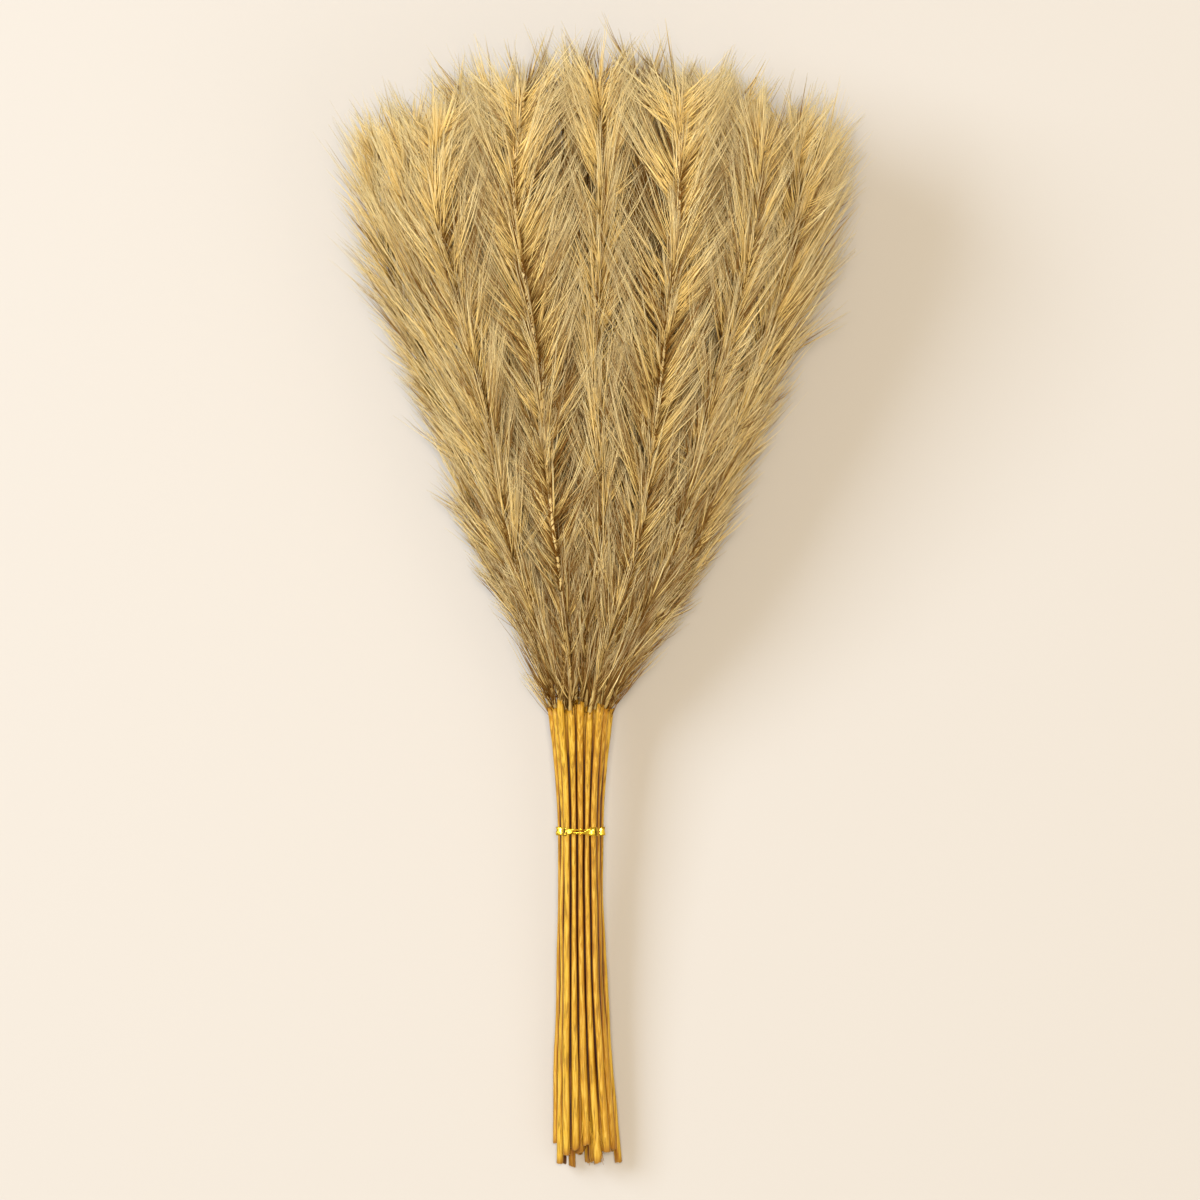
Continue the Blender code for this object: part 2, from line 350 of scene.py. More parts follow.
class PlumeSpace:
    """The room a plume has in the head: its middle line, and how far it reaches to each side."""

    DIRECTIONS = 36
    SECTION_GAP = 0.001
    FEWEST_POINTS = 5

    def __init__(self, node: str) -> None:
        """Measure a plume.

        Args:
            node: The CAD node's name.
        """
        sections = split_sections(node_points(node), self.SECTION_GAP)
        sections = [s for s in sections if len(s) >= self.FEWEST_POINTS]
        self.line = Line(np.array([s.mean(axis=0) for s in sections]))
        self.foot = float(self.line.y[0])
        self.tip = float(self.line.y[-1])
        self.reaches = np.array([self.section_reach(s) for s in sections])

    def section_reach(self, section: np.ndarray) -> np.ndarray:
        """Measure a section all round.

        Args:
            section: Its points.

        Returns:
            Its distance from its middle in each of DIRECTIONS even directions.
        """
        across = (section - section.mean(axis=0))[:, ACROSS]
        angles = np.arctan2(across[:, 1], across[:, 0])
        lengths = np.hypot(across[:, 0], across[:, 1])
        order = np.argsort(angles)
        wanted = np.linspace(-math.pi, math.pi, self.DIRECTIONS, endpoint=False)
        return np.interp(wanted, angles[order], lengths[order], period=2 * math.pi)

    def reach(self, y: float, azimuth: float) -> float:
        """Measure the room to one side.

        Args:
            y: The place along the plume.
            azimuth: The direction about Y.

        Returns:
            The distance from the middle line to the side.
        """
        place = (azimuth + math.pi) / (2 * math.pi) * self.DIRECTIONS
        low = int(math.floor(place))
        share = place - low
        column = self.reaches[:, low % self.DIRECTIONS] * (1 - share)
        column = column + self.reaches[:, (low + 1) % self.DIRECTIONS] * share
        return float(np.interp(y, self.line.y, column))


class Head:
    """All the plumes together: the middle of the head and its half size, at one level."""

    LEVEL_SHARE = 0.6

    def __init__(self, spaces: dict[str, PlumeSpace]) -> None:
        """Measure the head at the level where every plume has its full section.

        Args:
            spaces: The plumes' rooms by node.
        """
        foot = sum(s.foot for s in spaces.values()) / len(spaces)
        tip = sum(s.tip for s in spaces.values()) / len(spaces)
        self.level_y = foot + self.LEVEL_SHARE * (tip - foot)
        middles = np.array([s.line.at(self.level_y) for s in spaces.values()])
        low, high = middles.min(axis=0), middles.max(axis=0)
        self.middle = (low + high) / 2
        self.half = (high - low) / 2

    def place(self, space: PlumeSpace) -> tuple[float, float]:
        """Find where a plume lies in the head.

        Args:
            space: The plume's room.

        Returns:
            Its direction about Y from the head's middle, and how far out it lies, 1 at the rim.
        """
        offset = np.array(space.line.at(self.level_y)) - self.middle
        x, z = offset[0] / self.half[0], offset[2] / self.half[2]
        return math.atan2(z / self.half[2], x / self.half[0]), math.hypot(x, z)


# ---------------------------------------------------------------- finishes


def new_material(
    name: str, constants: dict[str, object]
) -> tuple[bpy.types.Material, Graph, bpy.types.Node]:
    """Start a material.

    Args:
        name: Its name.
        constants: What is the same all over it, by the shader's input.

    Returns:
        The material, its graph and its Principled BSDF.
    """
    material = bpy.data.materials.new(name)
    material.use_nodes = True
    graph = Graph(material.node_tree)
    shader = material.node_tree.nodes["Principled BSDF"]
    for key, value in constants.items():
        graph.feed(shader.inputs[key], value)
    return material, graph, shader


class SharedLooks:
    """Shader node groups that more than one finish uses."""

    def __init__(self) -> None:
        """Build each group once."""
        self.fibre_tone = self.build_fibre_tone()
        self.streaks = self.build_streaks()

    def build_fibre_tone(self) -> bpy.types.NodeTree:
        """Build the group that colours a fibre from its root to its tip, with painted shade: dark at the
        root, and the Deep colour for low tones, partly random darker fibres and partly painted shade.

        Returns:
            The group.
        """
        tree = bpy.data.node_groups.new("fibre_tone", "ShaderNodeTree")
        for name in ("Tone", "Along"):
            add_socket(tree, name, "Float", value=0.5)
        for name in ("Root", "Middle", "Tip", "Deep"):
            add_socket(tree, name, "Color")
        add_socket(tree, "Color", "Color", output=True)
        graph = Graph(tree)
        given = graph.add("NodeGroupInput").outputs
        along = given["Along"]
        # painted shade: the fibres darken toward the root, by the spine, where they shade each other
        lower = graph.blended(graph.ranged(along, 0.0, 0.20, 0.0, 1.0), given["Root"], given["Middle"])
        whole = graph.blended(graph.ranged(along, 0.15, 0.9, 0.0, 1.0), lower, given["Tip"])
        # Low tones take the Deep colour, fading toward the tips: random darker fibres, and painted shade for
        # tufts low in the head or inside it
        depth = graph.ranged(given["Tone"], 0.10, 0.74, 0.94, 0.0)
        depth = graph.math("MULTIPLY", depth, graph.ranged(along, 0.55, 1.0, 1.0, 0.35))
        toned = graph.blended(depth, whole, given["Deep"])
        graph.add("NodeGroupOutput", {"Color": toned})
        return tree

    def build_streaks(self) -> bpy.types.NodeTree:
        """Build the group of marks drawn out along Y.

        Returns:
            The group, which puts out fine grain and broad soft patches.
        """
        tree = bpy.data.node_groups.new("streaks", "ShaderNodeTree")
        for name, value in (("Fineness", 1000.0), ("Stretch", 0.03), ("Patch size", 80.0)):
            add_socket(tree, name, "Float", value=value)
        for name in ("Grain", "Patches"):
            add_socket(tree, name, "Float", output=True)
        graph = Graph(tree)
        given = graph.add("NodeGroupInput").outputs
        place = graph.add("ShaderNodeTexCoord").outputs["Object"]
        drawn = graph.add("ShaderNodeCombineXYZ", {0: 1.0, 1: given["Stretch"], 2: 1.0}).outputs[0]
        along = graph.vector("MULTIPLY", place, drawn)
        inputs = {"Vector": along, "Scale": given["Fineness"], "Detail": 2.0}
        grain = graph.add("ShaderNodeTexNoise", inputs).outputs[0]
        inputs = {"Vector": place, "Scale": given["Patch size"], "Detail": 3.0}
        patches = graph.add("ShaderNodeTexNoise", inputs).outputs[0]
        graph.add("NodeGroupOutput", {"Grain": grain, "Patches": patches})
        return tree


@dataclass(frozen=True)
class FibreFinish:
    """Dry silky fibre, pale at its tip, with painted shade: dark at its root, and darker where a tuft lies
    low in the head or inside it.
    """

    name: str = "pampas_fibre"
    root: Triple = (0.29, 0.135, 0.020)
    middle: Triple = (0.96, 0.725, 0.28)
    tip: Triple = (0.97, 0.82, 0.47)
    # darker fibres at random, and painted shade inside the head
    deep: Triple = (0.205, 0.086, 0.010)
    roughness: float = 0.55
    specular: float = 0.15

    def build(self, looks: SharedLooks) -> bpy.types.Material:
        """Build the material, whose colour follows the fibre's own map.

        Args:
            looks: The shared node groups.

        Returns:
            The material.
        """
        constants = {"Roughness": self.roughness, "Specular IOR Level": self.specular}
        material, graph, shader = new_material(self.name, constants)
        uv = graph.add("ShaderNodeUVMap", uv_map=FIBRE_MAP).outputs["UV"]
        places = graph.add("ShaderNodeSeparateXYZ", {0: uv}).outputs
        colors = {"Root": self.root, "Middle": self.middle, "Tip": self.tip, "Deep": self.deep}
        inputs = {"Tone": places[0], "Along": places[1], **colors}
        toned = graph.add("ShaderNodeGroup", inputs, node_tree=looks.fibre_tone)
        graph.feed(shader.inputs["Base Color"], toned.outputs["Color"])
        return material


@dataclass(frozen=True)
class StreakedFinish:
    """What the finishes with streaks have in common."""

    name: str
    fineness: float
    stretch: float
    patch_size: float
    rough_range: tuple[float, float]
    bump: tuple[float, float]
    constants: tuple[tuple[str, float], ...]

    def start(self, looks: SharedLooks) -> tuple[bpy.types.Material, Graph, bpy.types.Node, Socket, Socket]:
        """Start the material, with its roughness and its bump.

        Args:
            looks: The shared node groups.

        Returns:
            The material, its graph, its shader, the grain and the patches.
        """
        material, graph, shader = new_material(self.name, dict(self.constants))
        inputs = {"Fineness": self.fineness, "Stretch": self.stretch, "Patch size": self.patch_size}
        grain, patches = graph.add("ShaderNodeGroup", inputs, node_tree=looks.streaks).outputs
        graph.feed(shader.inputs["Roughness"], graph.ranged(patches, 0.3, 0.7, *self.rough_range))
        graph.bumped(shader, grain, *self.bump)
        return material, graph, shader, grain, patches


@dataclass(frozen=True)
class StrawFinish(StreakedFinish):
    """Golden dyed straw: satin, with fine grain along the stem, a darker, dusty cut, and painted shade in
    the crevices between stems and inside the hollows.
    """

    name: str = "golden_straw"
    fineness: float = 1500.0
    stretch: float = 0.016
    patch_size: float = 170.0
    rough_range: tuple[float, float] = (0.42, 0.60)
    bump: tuple[float, float] = (0.8, 0.0003)
    constants: tuple[tuple[str, float], ...] = (("Specular IOR Level", 0.3),)
    pale: Triple = (0.64, 0.385, 0.030)
    warm: Triple = (0.50, 0.245, 0.014)
    worn_pale: Triple = (0.75, 0.49, 0.078)
    amber: Triple = (0.34, 0.12, 0.005)
    shadowed: Triple = (0.050, 0.010, 0.001)
    pith: Triple = (0.52, 0.34, 0.12)

    def build(self, looks: SharedLooks) -> bpy.types.Material:
        """Build the material: body, dark and pale grain, darkening near the ends and painted shade in two
        stages, and the cut's pith.

        Args:
            looks: The shared node groups.

        Returns:
            The material.
        """
        material, graph, shader, grain, patches = self.start(looks)
        wear_and_shade = graph.painted("wear_and_shade")
        own = graph.math("MULTIPLY", graph.painted("ripeness"), 0.5)
        ripe = graph.math("ADD", graph.math("MULTIPLY", patches, 0.5), own)
        body = graph.blended(graph.ranged(ripe, 0.32, 0.68, 0.0, 1.0), self.warm, self.pale)
        line = tuple(0.50 * w + 0.1 * s for w, s in zip(self.warm, self.shadowed))
        grained = graph.blended(graph.ranged(grain, 0.35, 0.49, 0.75, 0.0), body, line)
        grained = graph.blended(graph.ranged(grain, 0.51, 0.62, 0.0, 0.6), grained, self.worn_pale)
        # Darkening near the ends, and painted shade in the crevices between stems and inside the hollow cut
        # and the mouth: first toward amber, then toward the near-black shadowed colour.
        worn_and_shaded = graph.blended(graph.ranged(wear_and_shade, 0.0, 0.55, 0.0, 0.85), grained, self.amber)
        worn_and_shaded = graph.blended(graph.ranged(wear_and_shade, 0.35, 0.95, 0.0, 1.0), worn_and_shaded, self.shadowed)
        whole = graph.blended(graph.painted("inside"), worn_and_shaded, self.pith)
        graph.feed(shader.inputs["Base Color"], whole)
        return material


@dataclass(frozen=True)
class FoilFinish(StreakedFinish):
    """Bright gold foil, with painted shade: darker patches over its small creases, and nearly black where it
    is folded under.
    """

    name: str = "gold_foil"
    fineness: float = 700.0
    stretch: float = 0.6
    patch_size: float = 420.0
    rough_range: tuple[float, float] = (0.30, 0.16)
    bump: tuple[float, float] = (0.5, 0.0003)
    constants: tuple[tuple[str, float], ...] = (("Metallic", 0.85),)
    color: Triple = (0.95, 0.63, 0.05)
    # the crease colour is painted shade in the creases, and the under colour near-black painted shade where
    # the band is folded in
    crease: Triple = (0.42, 0.20, 0.008)
    under: Triple = (0.035, 0.014, 0.002)

    def build(self, looks: SharedLooks) -> bpy.types.Material:
        """Build the material.

        Args:
            looks: The shared node groups.

        Returns:
            The material.
        """
        material, graph, shader, _, patches = self.start(looks)
        # Painted shade: noise patches darken toward the crease colour.
        creased = graph.ranged(patches, 0.32, 0.48, 0.85, 0.0)
        mixed = graph.blended(creased, self.color, self.crease)
        # Painted shade: the folded-in places darken toward near black.
        mixed = graph.blended(graph.painted("fold_and_shade"), mixed, self.under)
        graph.feed(shader.inputs["Base Color"], mixed)
        return material


@dataclass(frozen=True)
class FloorFinish:
    """A plain cream surface."""

    name: str = "cream_floor"
    color: Triple = (0.580, 0.552, 0.532)
    roughness: float = 0.9
    specular: float = 0.1

    def build(self) -> bpy.types.Material:
        """Build the material.

        Returns:
            The material.
        """
        constants = {
            "Base Color": self.color,
            "Roughness": self.roughness,
            "Specular IOR Level": self.specular,
        }
        return new_material(self.name, constants)[0]


# ---------------------------------------------------------------- pieces


def add_piece(name: str, mesh: bpy.types.Mesh, nodes: list[str]) -> bpy.types.Object:
    """Put a finished mesh in the scene as a piece of the object.

    Args:
        name: The piece's name.
        mesh: Its mesh, in place.
        nodes: The CAD nodes that it stands for.

    Returns:
        The new object.
    """
    mesh.name = name
    piece = link_object(name, mesh)
    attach(piece, BODY)
    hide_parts(*nodes)
    log.info("%s: %d triangles", name, sum(p.loop_total - 2 for p in mesh.polygons))
    return piece


class FibreTree:
    """The geometry node tree that grows a plume's spine and fibres from its plan."""

    INPUTS = (
        ("Hairs per tuft", "Int", 20),
        ("Hair radius", "Float", 0.0002),
        ("Segments", "Int", 4),
        ("Root scatter", "Float", 0.0007),
        ("Hairs per strand", "Int", 3),
        ("Fan", "Float", 0.1),
        ("Looseness", "Float", 0.03),
        ("Wave", "Float", 0.001),
        ("Stray share", "Float", 0.05),
        ("Floor softness", "Float", 0.0008),
        ("Seed", "Int", 0),
    )
    HAIR_SIDES = 3
    SPINE_SIDES = 6
    MAP_WIDTH = 0.012
    STRANDS_AT_MOST = 64.0
    BALL = ((-1, -1, -1), (1, 1, 1), "FLOAT_VECTOR")

    def __init__(self) -> None:
        """Build the tree."""
        self.tree = bpy.data.node_groups.new("plume_fibres", "GeometryNodeTree")
        add_socket(self.tree, "Geometry", "Geometry")
        for name, kind, value in self.INPUTS:
            add_socket(self.tree, name, kind, value=value)
        add_socket(self.tree, "Finish", "Material")
        add_socket(self.tree, "Geometry", "Geometry", output=True)
        self.graph = Graph(self.tree)
        self.given = self.graph.add("NodeGroupInput").outputs
        self.build()

    def named(self, name: str, kind: str = "FLOAT") -> Socket:
        """Return a named attribute of the geometry."""
        node = self.graph.add("GeometryNodeInputNamedAttribute", {"Name": name}, data_type=kind)
        return node.outputs["Attribute"]

    def arrow(self, name: str) -> Socket:
        """Return a named vector attribute of the geometry."""
        return self.named(name, "FLOAT_VECTOR")

    def stored(
        self, geometry: object, name: str, value: object, kind: str = "FLOAT", domain: str = "POINT"
    ) -> Socket:
        """Store a value on the geometry.

        Args:
            geometry: The geometry.
            name: The value's name.
            value: The value.
            kind: Its data type.
            domain: What it is stored on.

        Returns:
            The geometry with it.
        """
        inputs = {"Geometry": geometry, "Name": name, "Value": value}
        node = self.graph.add("GeometryNodeStoreNamedAttribute", inputs, data_type=kind, domain=domain)
        return node.outputs["Geometry"]

    def chance(
        self, number: int, low: object, high: object, kind: str = "FLOAT", each: object = None
    ) -> Socket:
        """Draw a random value.

        Args:
            number: What tells its seed from the others'.
            low: The least it can be.
            high: The most it can be.
            kind: Its data type.
            each: The numbers of the things that it is drawn for, or None for each hair.

        Returns:
            The value.
        """
        seed = self.graph.math("ADD", self.given["Seed"], float(number))
        node = self.graph.add("FunctionNodeRandomValue", {"Seed": seed}, data_type=kind)
        if each is not None:
            self.graph.feed(node.inputs["ID"], each)
        first = 0 if kind == "FLOAT_VECTOR" else 2
        self.graph.feed(node.inputs[first], low)
        self.graph.feed(node.inputs[first + 1], high)
        return node.outputs[0 if kind == "FLOAT_VECTOR" else 1]

    def swept(self, curve: object, sides: int, tone: object) -> Socket:
        """Sweep a closed tube along a curve, as thick as its girth.

        Args:
            curve: The curve.
            sides: How many sides the tube has.
            tone: The tone for its map.

        Returns:
            The tube, with the fibre map on it.
        """
        graph = self.graph
        circle = graph.add("GeometryNodeCurvePrimitiveCircle", {"Resolution": sides, "Radius": 1.0})
        around = graph.add("GeometryNodeSplineParameter").outputs["Factor"]
        profile = self.stored(circle.outputs["Curve"], "around", around)
        inputs = {"Curve": curve, "Profile Curve": profile, "Scale": self.named("girth"), "Fill Caps": True}
        tube = graph.add("GeometryNodeCurveToMesh", inputs).outputs["Mesh"]
        smooth = graph.add("GeometryNodeSetShadeSmooth", {"Geometry": tube, "Shade Smooth": True})
        across = graph.math("ADD", tone, graph.math("MULTIPLY", self.named("around"), self.MAP_WIDTH))
        uv = graph.add("ShaderNodeCombineXYZ", {0: across, 1: self.named("along"), 2: 0.0}).outputs[0]
        return self.stored(smooth.outputs["Geometry"], FIBRE_MAP, uv, "FLOAT2", "CORNER")

    def build(self) -> None:
        """Lay out the nodes: points to hairs, hairs to tubes, and the spine beside them."""
        graph, given = self.graph, self.given
        inputs = {"Geometry": given["Geometry"], "Selection": self.named("on_spine", "BOOLEAN")}
        parts = graph.add("GeometryNodeSeparateGeometry", inputs, domain="POINT")
        join = graph.add("GeometryNodeJoinGeometry")
        for geometry in (self.hairs(parts.outputs["Inverted"]), self.spine(parts.outputs["Selection"])):
            graph.feed(join.inputs[0], geometry)
        real = graph.add("GeometryNodeRealizeInstances", {"Geometry": join.outputs[0]}).outputs[0]
        dressed = graph.add("GeometryNodeSetMaterial", {"Geometry": real, "Material": given["Finish"]})
        graph.add("NodeGroupOutput", {"Geometry": dressed.outputs[0]})

    def hairs(self, tufts: object) -> Socket:
        """Grow the hairs.

        Args:
            tufts: The tufts' roots.

        Returns:
            The tubes of all of them.
        """
        graph, given = self.graph, self.given
        many = self.hair_plans(tufts)
        line = graph.add("GeometryNodeCurvePrimitiveLine", {"End": (0.0, 0.0, 1.0)}).outputs["Curve"]
        count = graph.math("ADD", given["Segments"], 1.0)
        line = graph.add("GeometryNodeResampleCurve", {"Curve": line, "Count": count}).outputs["Curve"]
        placed = graph.add("GeometryNodeInstanceOnPoints", {"Points": many, "Instance": line}).outputs[0]
        curves = graph.add("GeometryNodeRealizeInstances", {"Geometry": placed}).outputs[0]

        t = graph.add("GeometryNodeSplineParameter").outputs["Factor"]
        squared = graph.math("MULTIPLY", t, t)
        place = self.above_floor(self.hair_place(t, squared))
        curves = graph.add("GeometryNodeSetPosition", {"Geometry": curves, "Position": place}).outputs[0]
        thick = graph.math("MULTIPLY", given["Hair radius"], self.named("fine"))
        taper = graph.math("MULTIPLY_ADD", squared, -0.84, 1.0)
        curves = self.stored(curves, "girth", graph.math("MULTIPLY", thick, taper))
        curves = self.stored(curves, "along", t)
        return self.swept(curves, self.HAIR_SIDES, self.named("shade"))

    def hair_plans(self, tufts: object) -> Socket:
        """Plan the hairs: a strand's own share its draws, and a stray is longer, thinner and looser.

        Args:
            tufts: The tufts' roots.

        Returns:
            A point for each hair, with its start, run, curl, spread, shade and fineness.
        """
        graph, given = self.graph, self.given
        points = graph.add("GeometryNodeMeshToPoints", {"Mesh": tufts}).outputs["Points"]
        inputs = {"Geometry": points, "Amount": given["Hairs per tuft"]}
        copies = graph.add("GeometryNodeDuplicateElements", inputs, domain="POINT").outputs
        many = copies["Geometry"]
        place_in_tuft = graph.math("DIVIDE", copies["Duplicate Index"], given["Hairs per strand"])
        place_in_tuft = graph.math("FLOOR", place_in_tuft)
        strand = graph.math("MULTIPLY_ADD", self.named("tuft"), self.STRANDS_AT_MOST, place_in_tuft)

        stray = graph.math("LESS_THAN", self.chance(1, 0.0, 1.0), given["Stray share"])
        wild = graph.math("MULTIPLY_ADD", stray, 1.1, graph.math("SUBTRACT", 1.0, stray))
        length = graph.math("ADD", self.chance(3, 0.66, 1.0, each=strand), self.chance(7, -0.09, 0.06))
        length = graph.math("MULTIPLY_ADD", stray, 0.08, length)
        together = self.chance(5, *self.BALL, each=strand)
        alone = graph.scaled(self.chance(8, *self.BALL), 0.45)
        shaken = graph.scaled(graph.vector("ADD", together, alone), given["Root scatter"])
        drawn = graph.vector("MULTIPLY", shaken, (1.0, 4.0, 1.0))
        aim = self.arrow("aim")
        long = graph.vector("LENGTH", aim)
        fan = graph.math("MULTIPLY", given["Fan"], long)
        beside = graph.scaled(self.chance(2, *self.BALL, each=strand), fan)
        looseness = graph.math("MULTIPLY_ADD", stray, 0.20, given["Looseness"])
        loose = graph.scaled(self.chance(9, *self.BALL), graph.math("MULTIPLY", looseness, long))
        apart = graph.vector("ADD", graph.scaled(beside, wild), loose)
        tone = graph.math("ADD", self.named("tone"), self.chance(4, -0.30, 0.30, each=strand))
        tone = graph.math("ADD", tone, self.chance(10, -0.20, 0.20), clamp=True)
        tone = graph.math("MULTIPLY_ADD", tone, 0.96, 0.01)
        start = graph.vector("ADD", graph.add("GeometryNodeInputPosition").outputs[0], drawn)
        curl = graph.scaled(self.arrow("bend"), length)

        vectors = {"start": start, "run": graph.scaled(aim, length), "curl": curl, "apart": apart}
        for name, value in vectors.items():
            many = self.stored(many, name, value, "FLOAT_VECTOR")
        many = self.stored(many, "shade", tone)
        return self.stored(many, "fine", graph.math("MULTIPLY_ADD", stray, -0.35, self.chance(6, 0.75, 1.1)))

    def hair_place(self, t: Socket, squared: Socket) -> Socket:
        """Find the place of a point on its hair.

        Args:
            t: How far along the hair it is, from 0 to 1.
            squared: The square of that.

        Returns:
            The place.
        """
        graph = self.graph
        start = self.arrow("start")
        place = graph.vector("ADD", start, graph.scaled(self.arrow("run"), t))
        place = graph.vector("ADD", place, graph.scaled(self.arrow("curl"), squared))
        opening = graph.math("MULTIPLY", t, graph.math("MULTIPLY_ADD", t, -0.30, 1.0))
        place = graph.vector("ADD", place, graph.scaled(self.arrow("apart"), opening))
        swing = graph.vector("ADD", graph.scaled(start, 420.0), graph.scaled((1.8, 1.0, 1.5), t))
        waves = graph.add("ShaderNodeTexNoise", {"Vector": swing, "Scale": 1.0, "Detail": 1.0})
        waves = graph.vector("SUBTRACT", waves.outputs["Color"], (0.5, 0.5, 0.5))
        return graph.vector("ADD", place, graph.scaled(waves, graph.math("MULTIPLY", self.given["Wave"], t)))

    def above_floor(self, place: object) -> Socket:
        """Bend a place softly so that it never goes below the surface.

        Args:
            place: The place.

        Returns:
            The new place.
        """
        graph = self.graph
        x, y, z = graph.add("ShaderNodeSeparateXYZ", {0: place}).outputs
        soft = graph.math("MULTIPLY", self.given["Floor softness"], self.given["Floor softness"])
        root = graph.math("SQRT", graph.math("MULTIPLY_ADD", z, z, soft))
        lifted = graph.math("MULTIPLY", graph.math("ADD", z, root), 0.5)
        clear = graph.math("ADD", lifted, self.given["Hair radius"])
        return graph.add("ShaderNodeCombineXYZ", {0: x, 1: y, 2: clear}).outputs[0]

    def spine(self, edges: object) -> Socket:
        """Make the plume's spine.

        Args:
            edges: The spine's points, joined by edges.

        Returns:
            Its tube.
        """
        graph = self.graph
        curve = graph.add("GeometryNodeMeshToCurve", {"Mesh": edges}).outputs["Curve"]
        return self.swept(curve, self.SPINE_SIDES, self.named("tone"))

    def grow(
        self, plan: bpy.types.Mesh, values: dict[str, object], finish: bpy.types.Material
    ) -> bpy.types.Mesh:
        """Grow one plume.

        Args:
            plan: The mesh of tuft roots and spine points.
            values: The tree's inputs by name.
            finish: The fibres' material.

        Returns:
            The plain mesh of the whole plume.
        """
        holder = link_object("plume_plan", plan)
        modifier = holder.modifiers.new("fibres", "NODES")
        modifier.node_group = self.tree
        sockets = {s.name: s.identifier for s in self.tree.interface.items_tree if s.in_out == "INPUT"}
        for name, value in values.items():
            modifier[sockets[name]] = value
        modifier[sockets["Finish"]] = finish
        depsgraph = bpy.context.evaluated_depsgraph_get()
        mesh = bpy.data.meshes.new_from_object(holder.evaluated_get(depsgraph), depsgraph=depsgraph)
        holder.modifiers.clear()
        bpy.data.objects.remove(holder)
        bpy.data.meshes.remove(plan)
        kept = {FIBRE_MAP, "position", "sharp_face", "material_index"}
        for name in [a.name for a in mesh.attributes if a.name not in kept and not a.name.startswith(".")]:
            mesh.attributes.remove(mesh.attributes[name])
        mesh.materials.clear()
        mesh.materials.append(finish)
        mesh.polygons.foreach_set("material_index", [0] * len(mesh.polygons))
        return mesh


